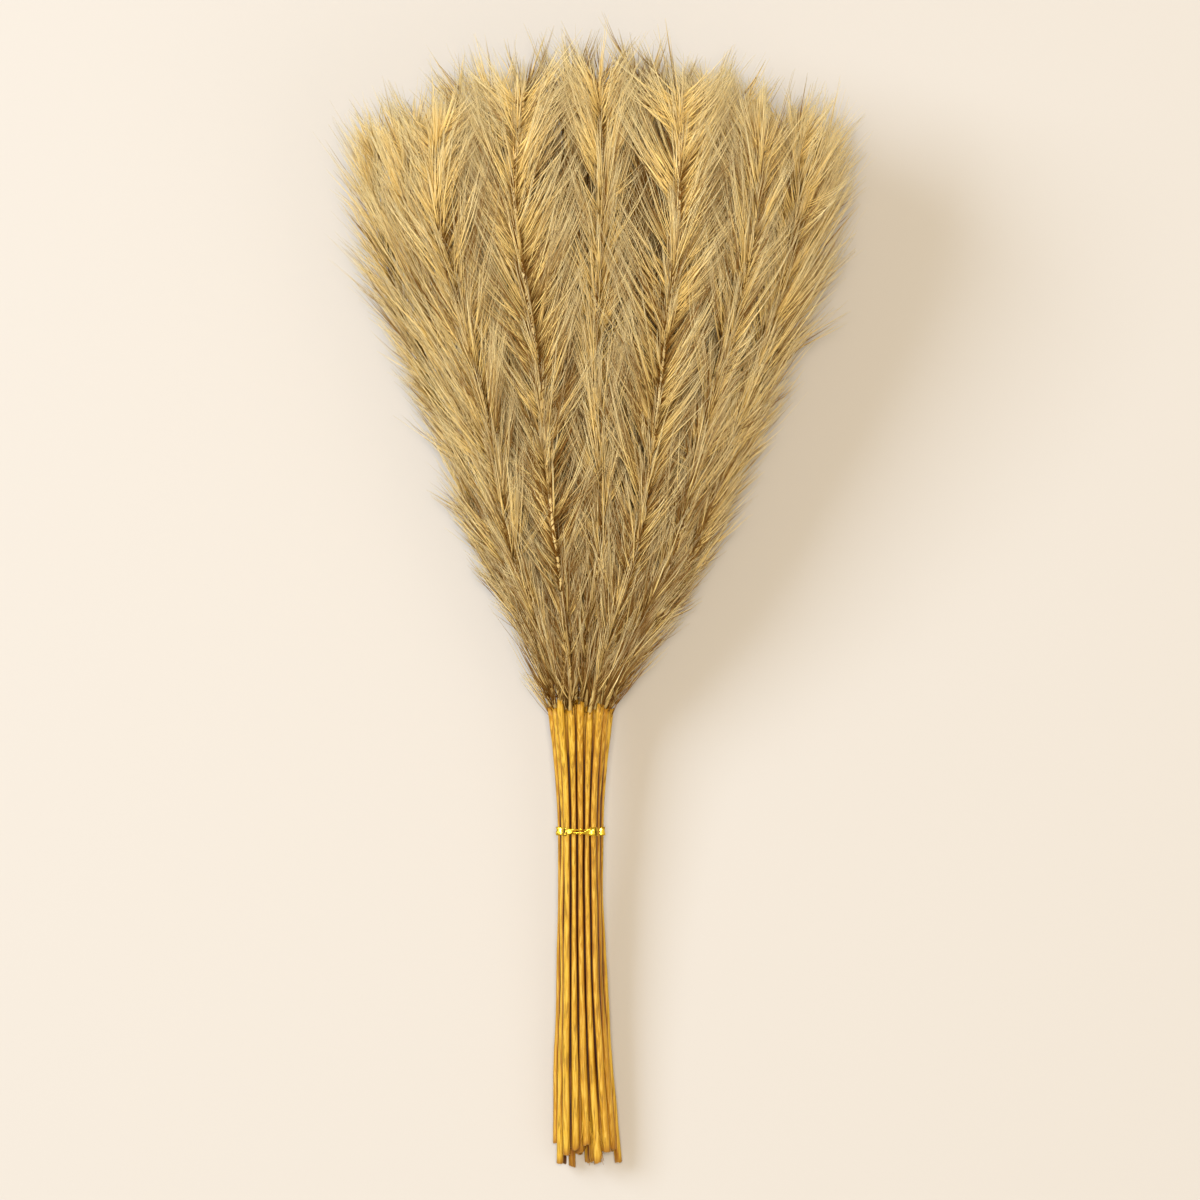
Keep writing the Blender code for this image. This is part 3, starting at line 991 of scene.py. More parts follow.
@dataclass
class Plume:
    """One plume: a thin spine, and tufts of silky fibres that leave it in a herringbone.

    Reaches, fills and lifts are shares of the plume's own room, angles are in degrees.
    """

    TURNS = {Habit.SHAGGY: (12, 130), Habit.EDGE: (0, 140), Habit.FILLING: (0, 180)}

    number: int
    space: PlumeSpace
    outward: float
    tone: float
    habit: Habit
    tufts: int
    hairs: int = 9
    segments: int = 3
    spine_lift: float = 0.25
    spine_girth: tuple[float, float] = (0.0008, 0.0004)
    spine_points: int = 14
    spine_raise: float = 0.0
    spine_sway: float = 0.0030
    start_below: float = 0.0015
    stop_short: float = 0.017
    round_top: float = 0.028
    top_narrowing: float = 0.60
    crowding: float = 0.82
    overlap: float = 1.45
    rim_fill: float = 1.06
    opening: float = 22.0
    curve: float = 0.20
    tuft_lengths: tuple[float, float] = (0.030, 0.066)
    least_rise: float = 0.014
    tip_reach: float = 0.009
    strays: float = 0.05
    ridge_share: float = 0.0
    wisp_share: float = 0.0
    wisp_lean: tuple[float, float] = (32, 52)
    wisp_stand: tuple[float, float] = (0.004, 0.010)
    ceiling: float = FRAME_BOX[1][2] + 0.002

    @property
    def node(self) -> str:
        """The name of the CAD node."""
        return f"plume_{self.number:02d}"

    def spine_point(self, y: float) -> Vector:
        """Find the visible spine, which lies nearer the head's outside than the middle line.

        Args:
            y: The place along the plume.

        Returns:
            The spine's point there.
        """
        point = self.space.line.at(y)
        risen = held((y - self.space.foot) / 0.06)
        fallen = held((self.space.tip - y) / 0.05)
        lift = self.spine_lift * risen * fallen * self.space.reach(y, self.outward)
        sway = self.spine_sway * risen * noise.noise(Vector((5.3 * self.number, 15.0 * y, 0.0)))
        out = around_y(self.outward)
        return point + out * lift + Vector((-out.z, 0, out.x)) * sway

    def pick_azimuth(self, rng: random.Random) -> float:
        """Choose which way a tuft leaves the spine, by the plume's habit.

        Args:
            rng: The plume's random numbers.

        Returns:
            The direction about Y.
        """
        side = rng.choice((-1, 1))
        if self.habit is Habit.FEATHER:
            turn = rng.gauss(84, 20) if rng.random() < 0.86 else rng.uniform(20, 150)
        else:
            turn = rng.uniform(*self.TURNS[self.habit])
        return half_turn(self.outward + side * math.radians(turn))

    def side_reach(self, y: float, azimuth: float) -> float:
        """Find how far the fibres reach to a side, past the neighbours, with a rounded top.

        Args:
            y: The place along the plume.
            azimuth: The direction about Y.

        Returns:
            The distance from the middle line.
        """
        rounded = self.space.tip - self.round_top
        into = held((y - rounded) / self.round_top)
        free = max(0.0, math.cos(azimuth - self.outward)) ** 1.5
        fill = self.overlap + (self.rim_fill - self.overlap) * free
        narrowed = math.sqrt(1 - (self.top_narrowing * into) ** 2)
        return self.space.reach(min(y, rounded), azimuth) * fill * narrowed

    def wisp(self, root: Vector, y: float, rng: random.Random) -> tuple[float, Vector]:
        """Lay out a tuft that stands out of the head's side.

        Args:
            root: The tuft's root.
            y: The root's place along the plume.
            rng: The plume's random numbers.

        Returns:
            Its direction about Y, and its end.
        """
        azimuth = half_turn(self.outward + math.radians(rng.gauss(0, 50)))
        lean = math.radians(rng.uniform(*self.wisp_lean))
        proud = rng.uniform(*self.wisp_stand) * (1 - 0.8 * max(0.0, math.sin(azimuth)))
        length = min(self.space.reach(y, azimuth) / math.sin(lean) + proud, self.tuft_lengths[1])
        way = self.space.line.along(y) * math.cos(lean)
        way += around_y(azimuth) * math.sin(lean)
        end = root + way * length
        end.y = min(end.y, self.space.tip + 0.003)
        return azimuth, end

    def tuft(self, share: float, rng: random.Random) -> tuple[Vector, Vector, Vector, float]:
        """Return one tuft's root, aim, bend and tone.

        Args:
            share: Its place along the spine, 0 at the foot and 1 at the top.
            rng: The plume's random numbers.

        Returns:
            The root, the way to the tuft's end, the bend on that way, and the tone.
        """
        space = self.space
        spine_length = space.tip - self.stop_short - space.foot + self.start_below
        y = space.foot - self.start_below + share * spine_length
        azimuth = self.pick_azimuth(rng)
        shortest, longest = self.tuft_lengths
        opening = math.radians(rng.gauss(self.opening, 7.0)) * (0.6 + 0.4 * min(share / 0.45, 1.0))
        fill = rng.triangular(0.62, 1.16, 0.98)
        length = 0.04
        for _ in range(3):
            side = self.side_reach(y + length * 0.9, azimuth) * fill
            length = min(max(side / math.sin(max(opening, 0.2)), shortest), longest)
        length *= rng.uniform(0.88, 1.12)
        end_y = min(y + 0.92 * length, space.tip + rng.uniform(-0.012, self.tip_reach))
        end_y = max(end_y, y + self.least_rise)
        end = space.line.at(end_y) + around_y(azimuth) * (self.side_reach(end_y, azimuth) * fill)
        if rng.random() < self.ridge_share:
            azimuth = self.outward + math.radians(rng.gauss(0, 55))
            end_y = min(y + rng.uniform(0.020, 0.036), space.tip)
            end = self.spine_point(end_y) + around_y(azimuth) * rng.uniform(0.0008, 0.0045)
        root = self.spine_point(y)
        if rng.random() < self.wisp_share:
            azimuth, end = self.wisp(root, y, rng)
        untidy = 0.0055 if rng.random() < 0.12 else 0.0018
        end += Vector((rng.gauss(0, untidy), 0, rng.gauss(0, untidy)))
        end.z -= 0.75 * max(0.0, end.z - self.ceiling)
        way = end - root
        forward = space.line.along(y)
        outward = way - forward * way.dot(forward)
        bend = forward * (0.08 * way.length) - outward * self.curve + Vector((0, 0, -0.02 * way.length))
        inward = max(0.0, -math.cos(azimuth - self.outward))
        # Painted shade: tufts low on the plume and tufts that point into the head get a darker tone; the
        # rest is random tone and a paler top.
        tone = self.tone + rng.uniform(-0.14, 0.14) - 0.26 * max(0.0, 1 - share / 0.5) - 0.35 * inward
        tone += 0.16 * max(0.0, (share - 0.72) / 0.28)
        return root, way - bend, bend, tone

    def plan(self) -> bpy.types.Mesh:
        """Plan the plume.

        Returns:
            The mesh of its tuft roots and spine points, with what each needs to grow.
        """
        rng = random.Random(1000 + self.number)
        shares = (((i + rng.random()) / self.tufts) ** self.crowding for i in range(self.tufts))
        roots, aims, bends, tones = (list(column) for column in zip(*(self.tuft(s, rng) for s in shares)))
        low, high = self.space.foot - self.start_below, self.space.tip - self.stop_short
        raised = around_y(self.outward) * self.spine_raise
        first, steps = self.tufts, self.spine_points
        climbed = [i / (steps - 1) for i in range(steps)]
        spine = [self.spine_point(low + (high - low) * c) + raised for c in climbed]
        mesh = bpy.data.meshes.new(self.node)
        edges = [(first + i, first + i + 1) for i in range(steps - 1)]
        mesh.from_pydata(roots + spine, edges, [])
        thick, thin = self.spine_girth
        columns = {
            "on_spine": ("BOOLEAN", [False] * first + [True] * steps),
            "tone": ("FLOAT", tones + [0.50] * steps),
            "tuft": ("INT", list(range(first + steps))),
            "girth": ("FLOAT", [0.0] * first + [thick + (thin - thick) * c for c in climbed]),
            "along": ("FLOAT", [0.0] * first + [0.3 + 0.5 * c for c in climbed]),
        }
        for name, (kind, values) in columns.items():
            mesh.attributes.new(name, kind, "POINT").data.foreach_set("value", values)
        still = [Vector()] * steps
        for name, vectors in (("aim", aims + still), ("bend", bends + still)):
            flat = [c for v in vectors for c in v]
            mesh.attributes.new(name, "FLOAT_VECTOR", "POINT").data.foreach_set("vector", flat)
        return mesh

    def build(self, fibres: FibreTree, finish: bpy.types.Material) -> bpy.types.Object:
        """Grow the plume and add it.

        Args:
            fibres: The tree that grows it.
            finish: The fibres' material.

        Returns:
            The piece.
        """
        filling = self.habit is Habit.FILLING
        values = {
            "Hairs per tuft": self.hairs,
            "Hair radius": 0.00026 if filling else 0.00023,
            "Segments": self.segments,
            "Root scatter": 0.0009,
            "Hairs per strand": 2,
            "Fan": 0.14 if filling else 0.12,
            "Looseness": 0.018,
            "Wave": 0.0030,
            "Stray share": self.strays,
            "Floor softness": 0.0008,
            "Seed": 97 * self.number,
        }
        mesh = fibres.grow(self.plan(), values, finish)
        return add_piece(f"fibres_{self.number:02d}", mesh, [self.node])


@dataclass
class Stem:
    """One stem in its dry sheath, with a seam along it, an open mouth and a hollow cut end.

    Heights, flares and swellings are shares of the stem's radius.
    """

    SECTION_GAP = 0.0012

    number: int
    sides: int = 16
    rows: int = 54
    swell: float = 1.10
    wobble: float = 0.0006
    seam_height: float = 0.07
    seam_width: float = 1.6
    mouth_flares: Triple = (0.14, 0.10, -0.26)
    hollow_depth: float = 0.0014
    mouth_depth: float = 0.004
    cut_rough: float = 0.0005
    mouth_rough: float = 0.0012
    # how far from a neighbouring stem the painted crevice shade reaches
    crevice: float = 0.0013
    near_stem: float = 0.008
    slivers: int = 0
    neighbours: list["Stem"] = field(default_factory=list)
    rng: random.Random = field(init=False)

    def __post_init__(self) -> None:
        """Measure the CAD stem and choose the stem's own habits."""
        self.rng = random.Random(500 + self.number)
        sections = split_sections(node_points(self.node), self.SECTION_GAP)
        centres = np.array([s.mean(axis=0) for s in sections])
        radii = [np.linalg.norm(s - c, axis=1).mean() for s, c in zip(sections, centres)]
        self.line = Line(centres)
        self.radii = np.array(radii)
        self.low, self.high = float(centres[0, 1]), float(centres[-1, 1])
        self.ripeness = self.rng.uniform(0.15, 0.9)
        self.mouth_flare = self.rng.choice(self.mouth_flares)
        self.seam = self.rng.uniform(0, 2 * math.pi)
        self.drift = self.rng.uniform(-0.6, 0.6)
        self.slant = self.rng.uniform(-0.0010, 0.0010)
        self.turn = self.rng.uniform(0, 2 * math.pi)

    @property
    def node(self) -> str:
        """The name of the CAD node."""
        return f"stem_{self.number:02d}"

    def radius(self, y: float) -> float:
        """Find the stem's thickness, with slow irregular swelling.

        Args:
            y: The place along the stem.

        Returns:
            Its outer radius there.
        """
        base = float(np.interp(y, self.line.y, self.radii)) * self.swell
        uneven = noise.noise(Vector((self.number * 3.7, y * 55.0, 0.3)))
        uneven += 0.5 * noise.noise(Vector((y * 190.0, self.number, 8.3)))
        to_mouth = near_end(self.high - y, 0.006)
        shoulder = 0.07 * math.exp(-(((self.high - y - 0.007) / 0.005) ** 2))
        return base * (1 + 0.11 * uneven + shoulder + self.mouth_flare * to_mouth**2)

    def ring(self, y: float, factor: float, rough: float = 0.0, tilt: float = 0.0) -> list[Vector]:
        """Return one ring of points about the stem.

        Args:
            y: Its place along the bunch.
            factor: Its radius against the stem's.
            rough: How ragged it is along the stem.
            tilt: How far it leans along the stem from one side to the other.

        Returns:
            The ring's points, the same way round for every ring.
        """
        near = min(max(y, self.low), self.high)
        centre = self.line.at(y)
        forward = self.line.along(near)
        across = (Vector((1, 0, 0)) - forward * forward.x).normalized()
        up = across.cross(forward)
        sideways = noise.noise(Vector((self.number, y * 30, 7.1)))
        upwards = noise.noise(Vector((y * 30, self.number, 2.2)))
        centre += Vector((sideways, 0, upwards)) * self.wobble
        radius = self.radius(near) * factor
        outside = 1.0 if factor > 0.9 else 0.0
        points = []
        for i in range(self.sides):
            angle = 2 * math.pi * i / self.sides
            from_seam = (angle - self.seam - self.drift * (y - self.low) / 0.18) % (2 * math.pi)
            step = outside * self.seam_height * near_end(from_seam, self.seam_width)
            round_place = (math.cos(angle) * 1.6, math.sin(angle) * 1.6 + self.number, y * 140)
            ripple = 0.04 * noise.noise(Vector(round_place))
            rib = outside * 0.05 * noise.noise(Vector((angle * 1.9, 3.1 * self.number, y * 18)))
            r = radius * (1 + step + ripple + rib)
            slide = tilt * math.cos(angle - self.turn)
            slide += rough * noise.noise(Vector((angle * 1.7, self.number, 4.4)))
            place = centre + across * (r * math.cos(angle)) + up * (r * math.sin(angle))
            points.append(place + forward * slide)
        return points

    def painted_crevice_shade(self, points: list[Vector], y: float) -> list[float]:
        """Find the painted shade on a ring's points, by how deep in a crevice between stems they lie.

        Args:
            points: The ring's points.
            y: The ring's place along the bundle.

        Returns:
            The depth of each, from 0 to 1.
        """
        own = self.line.at(y)
        places = []
        for stem in self.neighbours:
            centre = stem.line.at(y)
            if 0 < (centre - own).length < self.near_stem:
                places.append((centre, stem.radius(y)))
        depths = []
        for point in points:
            total = 0.0
            for centre, radius in places:
                gap = math.hypot(point.x - centre.x, point.z - centre.z) - radius
                total += near_end(max(gap, 0.0), self.crevice) ** 1.2
            depths.append(min(1.0, 1.6 * total))
        return depths

    def profile(self) -> list[tuple[list[Vector], float, float]]:
        """Return the rings that make up the stem.

        Returns:
            From inside the cut end, over the outside, to inside the mouth: each ring's points, its darkening
            (painted shade inside the hollows, darker near the ends outside), and how far it shows the stem's
            inside.
        """
        low, high, rough = self.low, self.high, self.cut_rough
        cut, mouth = self.slant * 0.5, self.slant
        # Inside the hollow cut end and the mouth, the high darkening is painted shade.
        rings = [
            (self.ring(low + self.hollow_depth, 0.50, 0, cut), 0.9, 0.3),
            (self.ring(low + 0.0002, 0.60, 0.0002, cut), 0.6, 0.5),
            (self.ring(low + 0.0001, 0.90, rough, cut), 0.1, 0.9),
            (self.ring(low + 0.0003, 1.0, rough, cut), 0.45, 0.1),
        ]
        for i in range(1, self.rows):
            y = low + (high - low) * (i / self.rows)
            worn_and_shaded = 0.25 * near_end(y - low, 0.006) + 0.12 * near_end(high - y, 0.005)
            ease = near_end(high - y, 0.004)
            rings.append((self.ring(y, 1.0, 0.0006 * ease, mouth * ease), worn_and_shaded, 0.0))
        rings += [
            (self.ring(high + 0.0004, 1.0, self.mouth_rough, mouth), 0.3, 0.0),
            (self.ring(high + 0.0003, 0.88, self.mouth_rough, mouth), 0.5, 0.0),
            (self.ring(high - self.mouth_depth, 0.60, 0, 0), 1.0, 0.0),
        ]
        return rings

    def build(self, finish: bpy.types.Material) -> bpy.types.Object:
        """Build the stem and add it.

        Args:
            finish: Its material.

        Returns:
            The piece.
        """
        bm = bmesh.new()
        wear_and_shade = bm.verts.layers.float.new("wear_and_shade")
        inside = bm.verts.layers.float.new("inside")
        ripeness = bm.verts.layers.float.new("ripeness")
        rows = []
        for points, worn_and_shaded, within in self.profile():
            row = []
            for point, crevice_shade in zip(points, self.painted_crevice_shade(points, points[0].y)):
                vert = bm.verts.new((point.x, point.y, max(point.z, 0.00002)))
                # Each point's darkening is the larger of the ring's and the crevice's: painted shade between
                # stems and inside the hollows, and darker near the ends.
                vert[wear_and_shade], vert[inside], vert[ripeness] = max(worn_and_shaded, crevice_shade), within, self.ripeness
                row.append(vert)
            rows.append(row)
        join_rows(bm, rows)
        bm.faces.new(rows[0])
        bm.faces.new(rows[-1])
        for _ in range(self.slivers):
            self.add_sliver(bm, wear_and_shade, ripeness)
        mesh = smooth_mesh(bm, self.node, finish)
        return add_piece(f"straw_{self.number:02d}", mesh, [self.node])

    def add_sliver(self, bm: bmesh.types.BMesh, wear_and_shade: object, ripeness: object) -> None:
        """Split a thin sliver off the side of the stem by its cut end.

        Args:
            bm: The stem's mesh under construction.
            wear_and_shade: Its layer of darkening near the ends and of painted shade.
            ripeness: Its layer of ripeness.
        """
        angle = self.rng.uniform(0.1, math.pi - 0.1)
        side = around_y(angle)
        top = self.low + self.rng.uniform(0.006, 0.014)
        bottom = self.low + self.rng.uniform(-0.001, 0.003)
        peel = self.rng.uniform(0.0004, 0.0016)
        lean = self.rng.uniform(-0.0012, 0.0012)
        width = self.rng.uniform(0.00022, 0.00045)
        rows = []
        for t in (k / 5 for k in range(6)):
            y = top + (bottom - top) * t
            centre = self.line.at(y) + side * (self.radius(max(y, self.low)) * 0.98 + peel * t * t)
            centre.x += lean * t * t
            size = width * (1 - 0.75 * t)
            row = []
            for turn in (0.3, 2.4, 4.5):
                across = around_y(turn) * size
                vert = bm.verts.new((centre.x + across.x, y, max(centre.z + across.z, 0.00004)))
                vert[wear_and_shade], vert[ripeness] = 0.12 + 0.3 * t, 0.95
                row.append(vert)
            rows.append(row)
        bm.faces.new(rows[0])
        join_rows(bm, rows)
        bm.faces.new(rows[-1])


@dataclass
class FoilTie:
    """The strip of gold foil that holds the stems: a creased band and its twisted ends."""

    around: int = 176
    across: int = 7
    thickness: float = 0.00012
    proud: float = 0.00005
    crease: float = 0.00038
    fold_depth: float = 0.0004
    under_fold: tuple[float, float] = (-0.0045, 0.0028)
    side_folds: tuple[tuple[float, float], ...] = ((-0.0061, 0.0008), (0.0060, 0.0005))

    DIRECTIONS = 40
    STRIP_STEPS = 34
    UPPER_END = (  # along X from the middle, along Y, above the middle, half width, turn
        (-0.0052, 0.0000, 0.0000, 0.0011, -0.17),
        (-0.0044, 0.0001, 0.0003, 0.0012, -0.17),
        (-0.0037, 0.0002, 0.0006, 0.0010, -0.17),
        (-0.0030, 0.0003, 0.0006, 0.0007, 0.5),
        (-0.0018, 0.0006, 0.0005, 0.0005, 0.9),
        (-0.0004, 0.0005, 0.0004, 0.0004, 0.5),
        (0.0012, 0.0006, 0.0005, 0.0004, 1.1),
        (0.0024, 0.0003, 0.0005, 0.0006, 0.8),
    )
    LOWER_END = (
        (-0.0046, -0.0006, 0.0000, 0.0006, 0.4),
        (-0.0034, -0.0005, 0.0002, 0.0005, 0.8),
        (-0.0020, -0.0007, 0.0003, 0.0005, 0.5),
        (-0.0004, -0.0007, 0.0002, 0.0004, 0.9),
        (0.0012, -0.0006, 0.0003, 0.0005, 0.6),
        (0.0024, -0.0002, 0.0004, 0.0008, 0.4),
        (0.0034, 0.0000, 0.0005, 0.0014, 0.1),
        (0.0046, 0.0001, 0.0004, 0.0017, -0.15),
        (0.0058, 0.0000, 0.0002, 0.0015, 0.1),
    )

    def band_reach(self) -> tuple[Vector, float, float, np.ndarray]:
        """Measure the CAD band.

        Returns:
            Its middle, its lowest and highest Y, and its outer radius in even directions.
        """
        low, high = (Vector(c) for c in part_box("tie_band"))
        middle = (low + high) / 2
        points = node_points("tie_band") - np.array(middle)
        angles = np.arctan2(points[:, 2], points[:, 0])
        lengths = np.hypot(points[:, 0], points[:, 2])
        count = self.DIRECTIONS
        bins = np.round(angles / (2 * math.pi) * count).astype(int) % count
        outer = np.array([lengths[bins == b].max() if (bins == b).any() else 0 for b in range(count)])
        wanted = np.linspace(0, count, self.around, endpoint=False)
        reaches = np.interp(wanted, np.arange(count + 1), np.append(outer, outer[0]))
        return middle, low.y, high.y, reaches

    def fold_and_shade(self, x: float, share: float) -> float:
        """Find how deeply the band is folded in; the same depth paints near-black shade on the foil.

        Args:
            x: The place from the band's middle.
            share: The place in the band's width, from 0 to 1.

        Returns:
            The depth, from 0 to 1.
        """
        centred = 1 - abs(2 * share - 1)
        beside = max(math.exp(-(((x - place) / width) ** 2)) for place, width in self.side_folds)
        left, right = self.under_fold
        under = centred if left < x < right else 0.0
        return min(1.0, beside * (0.55 + 0.6 * centred) + 0.95 * under)

    def build_band(self, finish: bpy.types.Material) -> bpy.types.Object:
        """Build the band round the stems.

        Args:
            finish: The foil.

        Returns:
            The piece.
        """
        middle, low, high, reaches = self.band_reach()
        bm = bmesh.new()
        layer = bm.verts.layers.float.new("fold_and_shade")
        rows = []
        for k in range(self.across):
            share = k / (self.across - 1)
            row = []
            for i in range(self.around):
                angle = 2 * math.pi * i / self.around
                wrinkle = noise.noise(Vector((math.cos(angle) * 9, math.sin(angle) * 9, share * 2.5)))
                edge = 0.00025 * noise.noise(Vector((angle * 9, k // 3, 1.7)))
                fold_and_shade = self.fold_and_shade(reaches[i] * math.cos(angle), share) if math.sin(angle) > 0.3 else 0.0
                r = reaches[i] + self.proud + self.crease * wrinkle - self.fold_depth * fold_and_shade
                y = low + (high - low) * share + (edge if k in (0, self.across - 1) else 0)
                vert = bm.verts.new((middle.x + r * math.cos(angle), y, middle.z + r * math.sin(angle)))
                # This folded-in depth is also painted on the foil as near-black shade.
                vert[layer] = fold_and_shade
                row.append(vert)
            rows.append(row)
        join_rows(bm, rows)
        return self.thicken(bm, "foil_band", "tie_band", finish)

    def thicken(
        self, bm: bmesh.types.BMesh, name: str, node: str, finish: bpy.types.Material
    ) -> bpy.types.Object:
        """Give a foil surface its thickness and add it.

        Args:
            bm: The surface under construction.
            name: The piece's name.
            node: The CAD node that it stands for.
            finish: The foil.

        Returns:
            The piece.
        """
        mesh = smooth_mesh(bm, name, finish)
        holder = link_object(name, mesh)
        wall = holder.modifiers.new("wall", "SOLIDIFY")
        wall.thickness = self.thickness
        wall.offset = 0.0
        depsgraph = bpy.context.evaluated_depsgraph_get()
        solid = bpy.data.meshes.new_from_object(holder.evaluated_get(depsgraph), depsgraph=depsgraph)
        bpy.data.objects.remove(holder)
        bpy.data.meshes.remove(mesh)
        return add_piece(name, solid, [node])

    def build_twist(self, finish: bpy.types.Material) -> bpy.types.Object:
        """Build the twisted ends of the strip, spread at both sides.

        Args:
            finish: The foil.

        Returns:
            The piece.
        """
        low, high = (Vector(c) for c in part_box("tie_twist"))
        bm = bmesh.new()
        for stations in (self.UPPER_END, self.LOWER_END):
            self.strip(bm, np.array(stations), (low + high) / 2)
        return self.thicken(bm, "foil_twist", "tie_twist", finish)

    def strip(self, bm: bmesh.types.BMesh, stations: np.ndarray, middle: Vector) -> None:
        """Lay one narrow foil strip.

        Args:
            bm: The surface under construction.
            stations: The strip's places, half widths and turns.
            middle: The twist's middle.
        """
        rows = []
        for x in np.linspace(stations[0, 0], stations[-1, 0], self.STRIP_STEPS):
            y, z, half, turn = (float(np.interp(x, stations[:, 0], stations[:, k])) for k in range(1, 5))
            row = []
            for k in range(5):
                w = (k / 2 - 1) * half
                dent = 0.00018 * noise.noise(Vector((x * 900, k * 0.9, y * 4000)))
                upwards = middle.z + z + w * math.sin(turn) + dent
                row.append(bm.verts.new((middle.x + x, middle.y + y + w * math.cos(turn), upwards)))
            rows.append(row)
        join_rows(bm, rows, closed=False)


class Bunch:
    """The whole bundle: which plume is of which habit, and the order of building."""

    FEATHER_LIFTS = {2: 0.55, 4: 0.50}  # by plume
    SLIVERS = {3: 4, 4: 6, 10: 4, 9: 3, 5: 1, 17: 3}  # by stem
    SHORT_TUFTS = (0.022, 0.056)
    GROWTHS = {
        Habit.FEATHER: {
            "tufts": 272,
            "segments": 4,
            "opening": 35.0,
            "overlap": 1.75,
            "tuft_lengths": SHORT_TUFTS,
            "ridge_share": 0.20,
            "wisp_share": 0.04,
            "spine_raise": 0.0007,
        },
        Habit.SHAGGY: {
            "tufts": 224,
            "spine_lift": 0.4,
            "opening": 27.0,
            "overlap": 1.55,
            "strays": 0.08,
            "ridge_share": 0.12,
            "wisp_share": 0.10,
        },
        Habit.EDGE: {
            "tufts": 208,
            "spine_lift": 0.15,
            "opening": 36.0,
            "curve": 0.04,
            "tuft_lengths": SHORT_TUFTS,
            "rim_fill": 1.16,
            "stop_short": 0.010,
            "tip_reach": 0.013,
            "strays": 0.16,
            "wisp_share": 0.30,
        },
        Habit.FILLING: {"tufts": 120},
    }
    UNDERSIDE_TUFTS = 144
    RIM_FROM = 0.55
    TOP_FROM = 0.35
    FILLING_SHADE = 0.25

    def __init__(self) -> None:
        """Measure the frame."""
        names = sorted(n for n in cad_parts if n.startswith("plume_"))
        self.spaces = {n: PlumeSpace(n) for n in names}
        self.head = Head(self.spaces)
        self.stem_numbers = sorted(int(n[-2:]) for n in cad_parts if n.startswith("stem_"))

    def plume(self, name: str) -> Plume:
        """Describe the plume that takes the place of a CAD node.

        Args:
            name: The node's name.

        Returns:
            The plume.
        """
        number = int(name[-2:])
        outward, rim = self.head.place(self.spaces[name])
        habit = self.habit(number, outward, rim)
        growth = dict(self.GROWTHS[habit])
        tone = 0.5 + 0.06 * math.sin(number * 2.3)
        if habit is Habit.FEATHER:
            growth["spine_lift"] = self.FEATHER_LIFTS[number]
        elif habit is Habit.FILLING:
            tone -= self.FILLING_SHADE
        elif habit is Habit.EDGE and math.sin(outward) <= -0.3:
            growth["tufts"] = self.UNDERSIDE_TUFTS
        return Plume(number, self.spaces[name], outward, tone, habit, **growth)

    def habit(self, number: int, outward: float, rim: float) -> Habit:
        """Choose a plume's habit, by its place in the head.

        Args:
            number: The plume's number.
            outward: Its direction about Y.
            rim: How far out it lies.

        Returns:
            The habit.
        """
        if number in self.FEATHER_LIFTS:
            return Habit.FEATHER
        if rim < self.RIM_FROM:
            return Habit.FILLING
        on_top = self.TOP_FROM < outward < math.pi - self.TOP_FROM
        return Habit.SHAGGY if on_top else Habit.EDGE

    def build(self, looks: SharedLooks) -> None:
        """Build every piece of the bundle.

        Args:
            looks: The shared node groups.
        """
        fibres = FibreTree()
        straw = StrawFinish().build(looks)
        foil = FoilFinish().build(looks)
        plume_finish = FibreFinish().build(looks)
        for name in self.spaces:
            self.plume(name).build(fibres, plume_finish)
        stems = [Stem(number) for number in self.stem_numbers]
        for stem in stems:
            stem.neighbours = stems
            stem.slivers = self.SLIVERS.get(stem.number, 0)
            stem.build(straw)
        tie = FoilTie()
        tie.build_band(foil)
        tie.build_twist(foil)


@dataclass(frozen=True)
class Lamp:
    """One square light that shines at the bundle."""

    name: str
    place: Triple
    power: float
    size: float
    color: Triple
    aim: Triple = (0, 0.05, 0.03)

    def build(self) -> None:
        """Hang the light."""
        lamp = bpy.data.lights.new(self.name, "AREA")
        lamp.energy = self.power
        lamp.size = self.size
        lamp.color = self.color
        light = link_object(self.name, lamp)
        light.location = self.place
        light.rotation_euler = (Vector(self.aim) - Vector(self.place)).to_track_quat("-Z", "Y").to_euler()


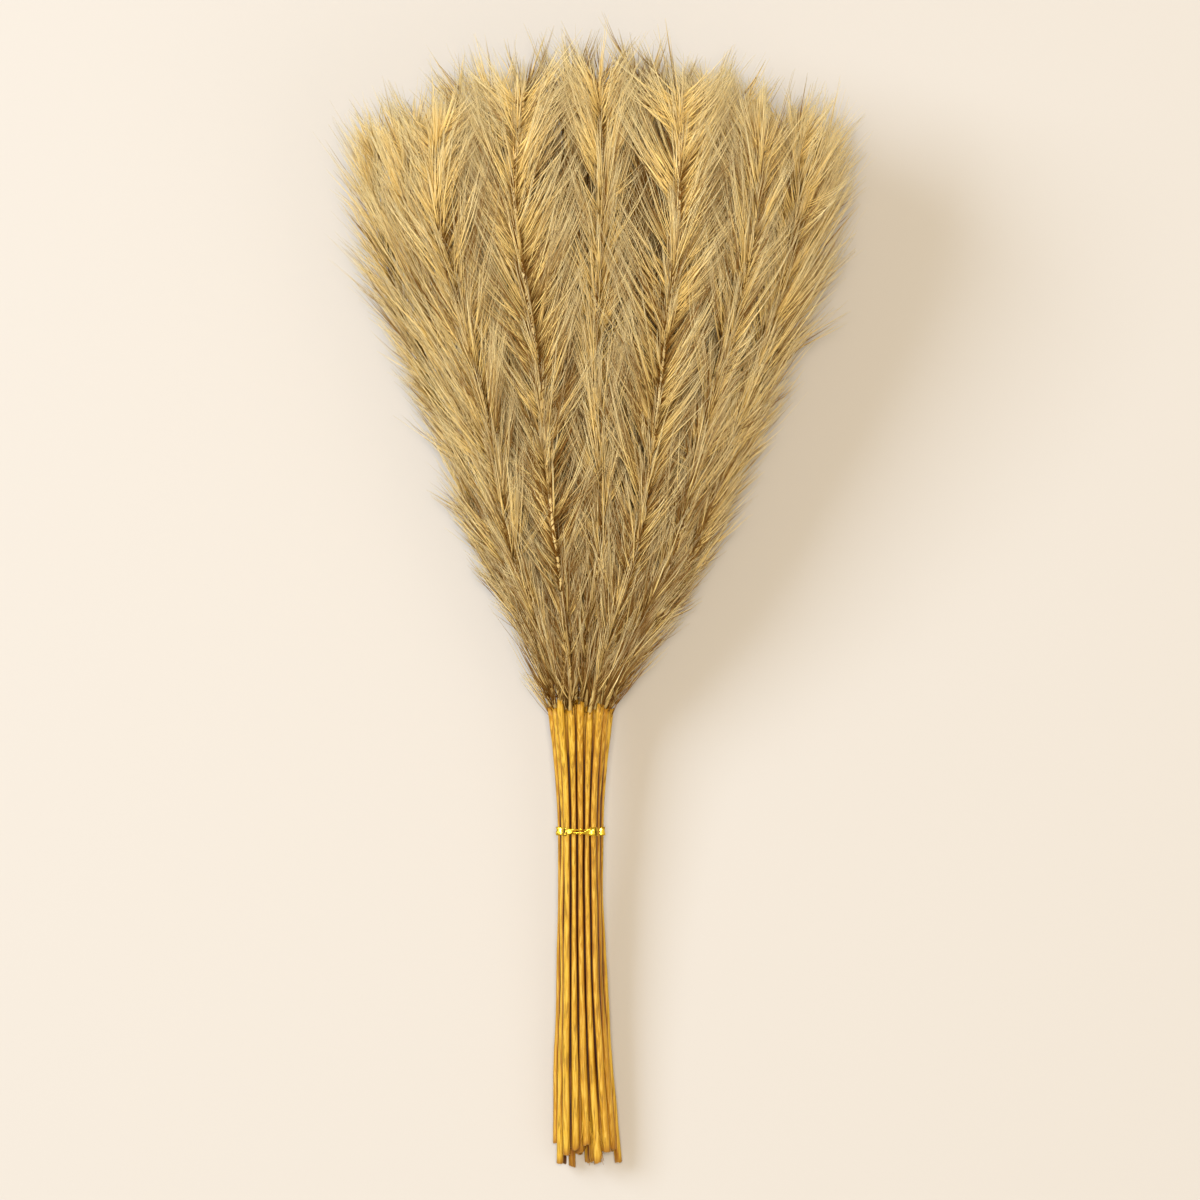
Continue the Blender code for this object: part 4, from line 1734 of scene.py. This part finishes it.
@dataclass
class Studio:
    """The floor, the lights and the camera."""

    lens: float = 200.0
    camera_height: float = 2.657
    aim_x: float = 0.00768
    aim_y: float = 0.0029
    lamps: tuple[Lamp, ...] = (
        Lamp("key", (-2.1, 0.9, 2.25), 85.0, 1.6, (0.76, 0.866, 1.0)),
        Lamp("fill", (1.2, -0.6, 1.8), 6.0, 1.6, (1.0, 0.98, 0.96)),
        Lamp("top", (0.0, 0.1, 3.2), 73.0, 0.5, (1.0, 0.88, 0.69)),
    )
    surround: Triple = (1.0, 0.85, 0.60)
    surround_strength: float = 0.41
    floor_size: float = 4.0

    def build(self) -> None:
        """Build all of it."""
        self.build_floor()
        for lamp in self.lamps:
            lamp.build()
        self.build_surround()
        self.build_camera()

    def build_floor(self) -> None:
        """Lay the plain floor that the bundle lies on."""
        bm = bmesh.new()
        bmesh.ops.create_grid(bm, x_segments=1, y_segments=1, size=self.floor_size)
        mesh = bpy.data.meshes.new("floor")
        bm.to_mesh(mesh)
        bm.free()
        mesh.materials.append(FloorFinish().build())
        link_object("floor", mesh)

    def build_surround(self) -> None:
        """Set the even light from all round."""
        world = bpy.data.worlds.new("surround")
        world.use_nodes = True
        inputs = world.node_tree.nodes["Background"].inputs
        inputs["Color"].default_value = (*self.surround, 1)
        inputs["Strength"].default_value = self.surround_strength
        bpy.context.scene.world = world

    def build_camera(self) -> None:
        """Look straight down at the bundle, its tips upward."""
        low, high = (Vector(c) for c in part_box("tie_band"))
        camera = bpy.data.cameras.new("camera")
        camera.lens = self.lens
        camera.sensor_width = 36.0
        camera.clip_end = 20.0
        holder = link_object("camera", camera)
        holder.location = ((low.x + high.x) / 2 + self.aim_x, self.aim_y, self.camera_height)
        bpy.context.scene.camera = holder


def main() -> None:
    """Build the bundle and its studio; each piece's triangle count is logged."""
    logging.basicConfig(level=logging.INFO, format="%(name)s: %(message)s")
    Studio().build()
    Bunch().build(SharedLooks())
    bpy.context.scene.view_settings.view_transform = "Standard"


if __name__ == "__main__":
    main()
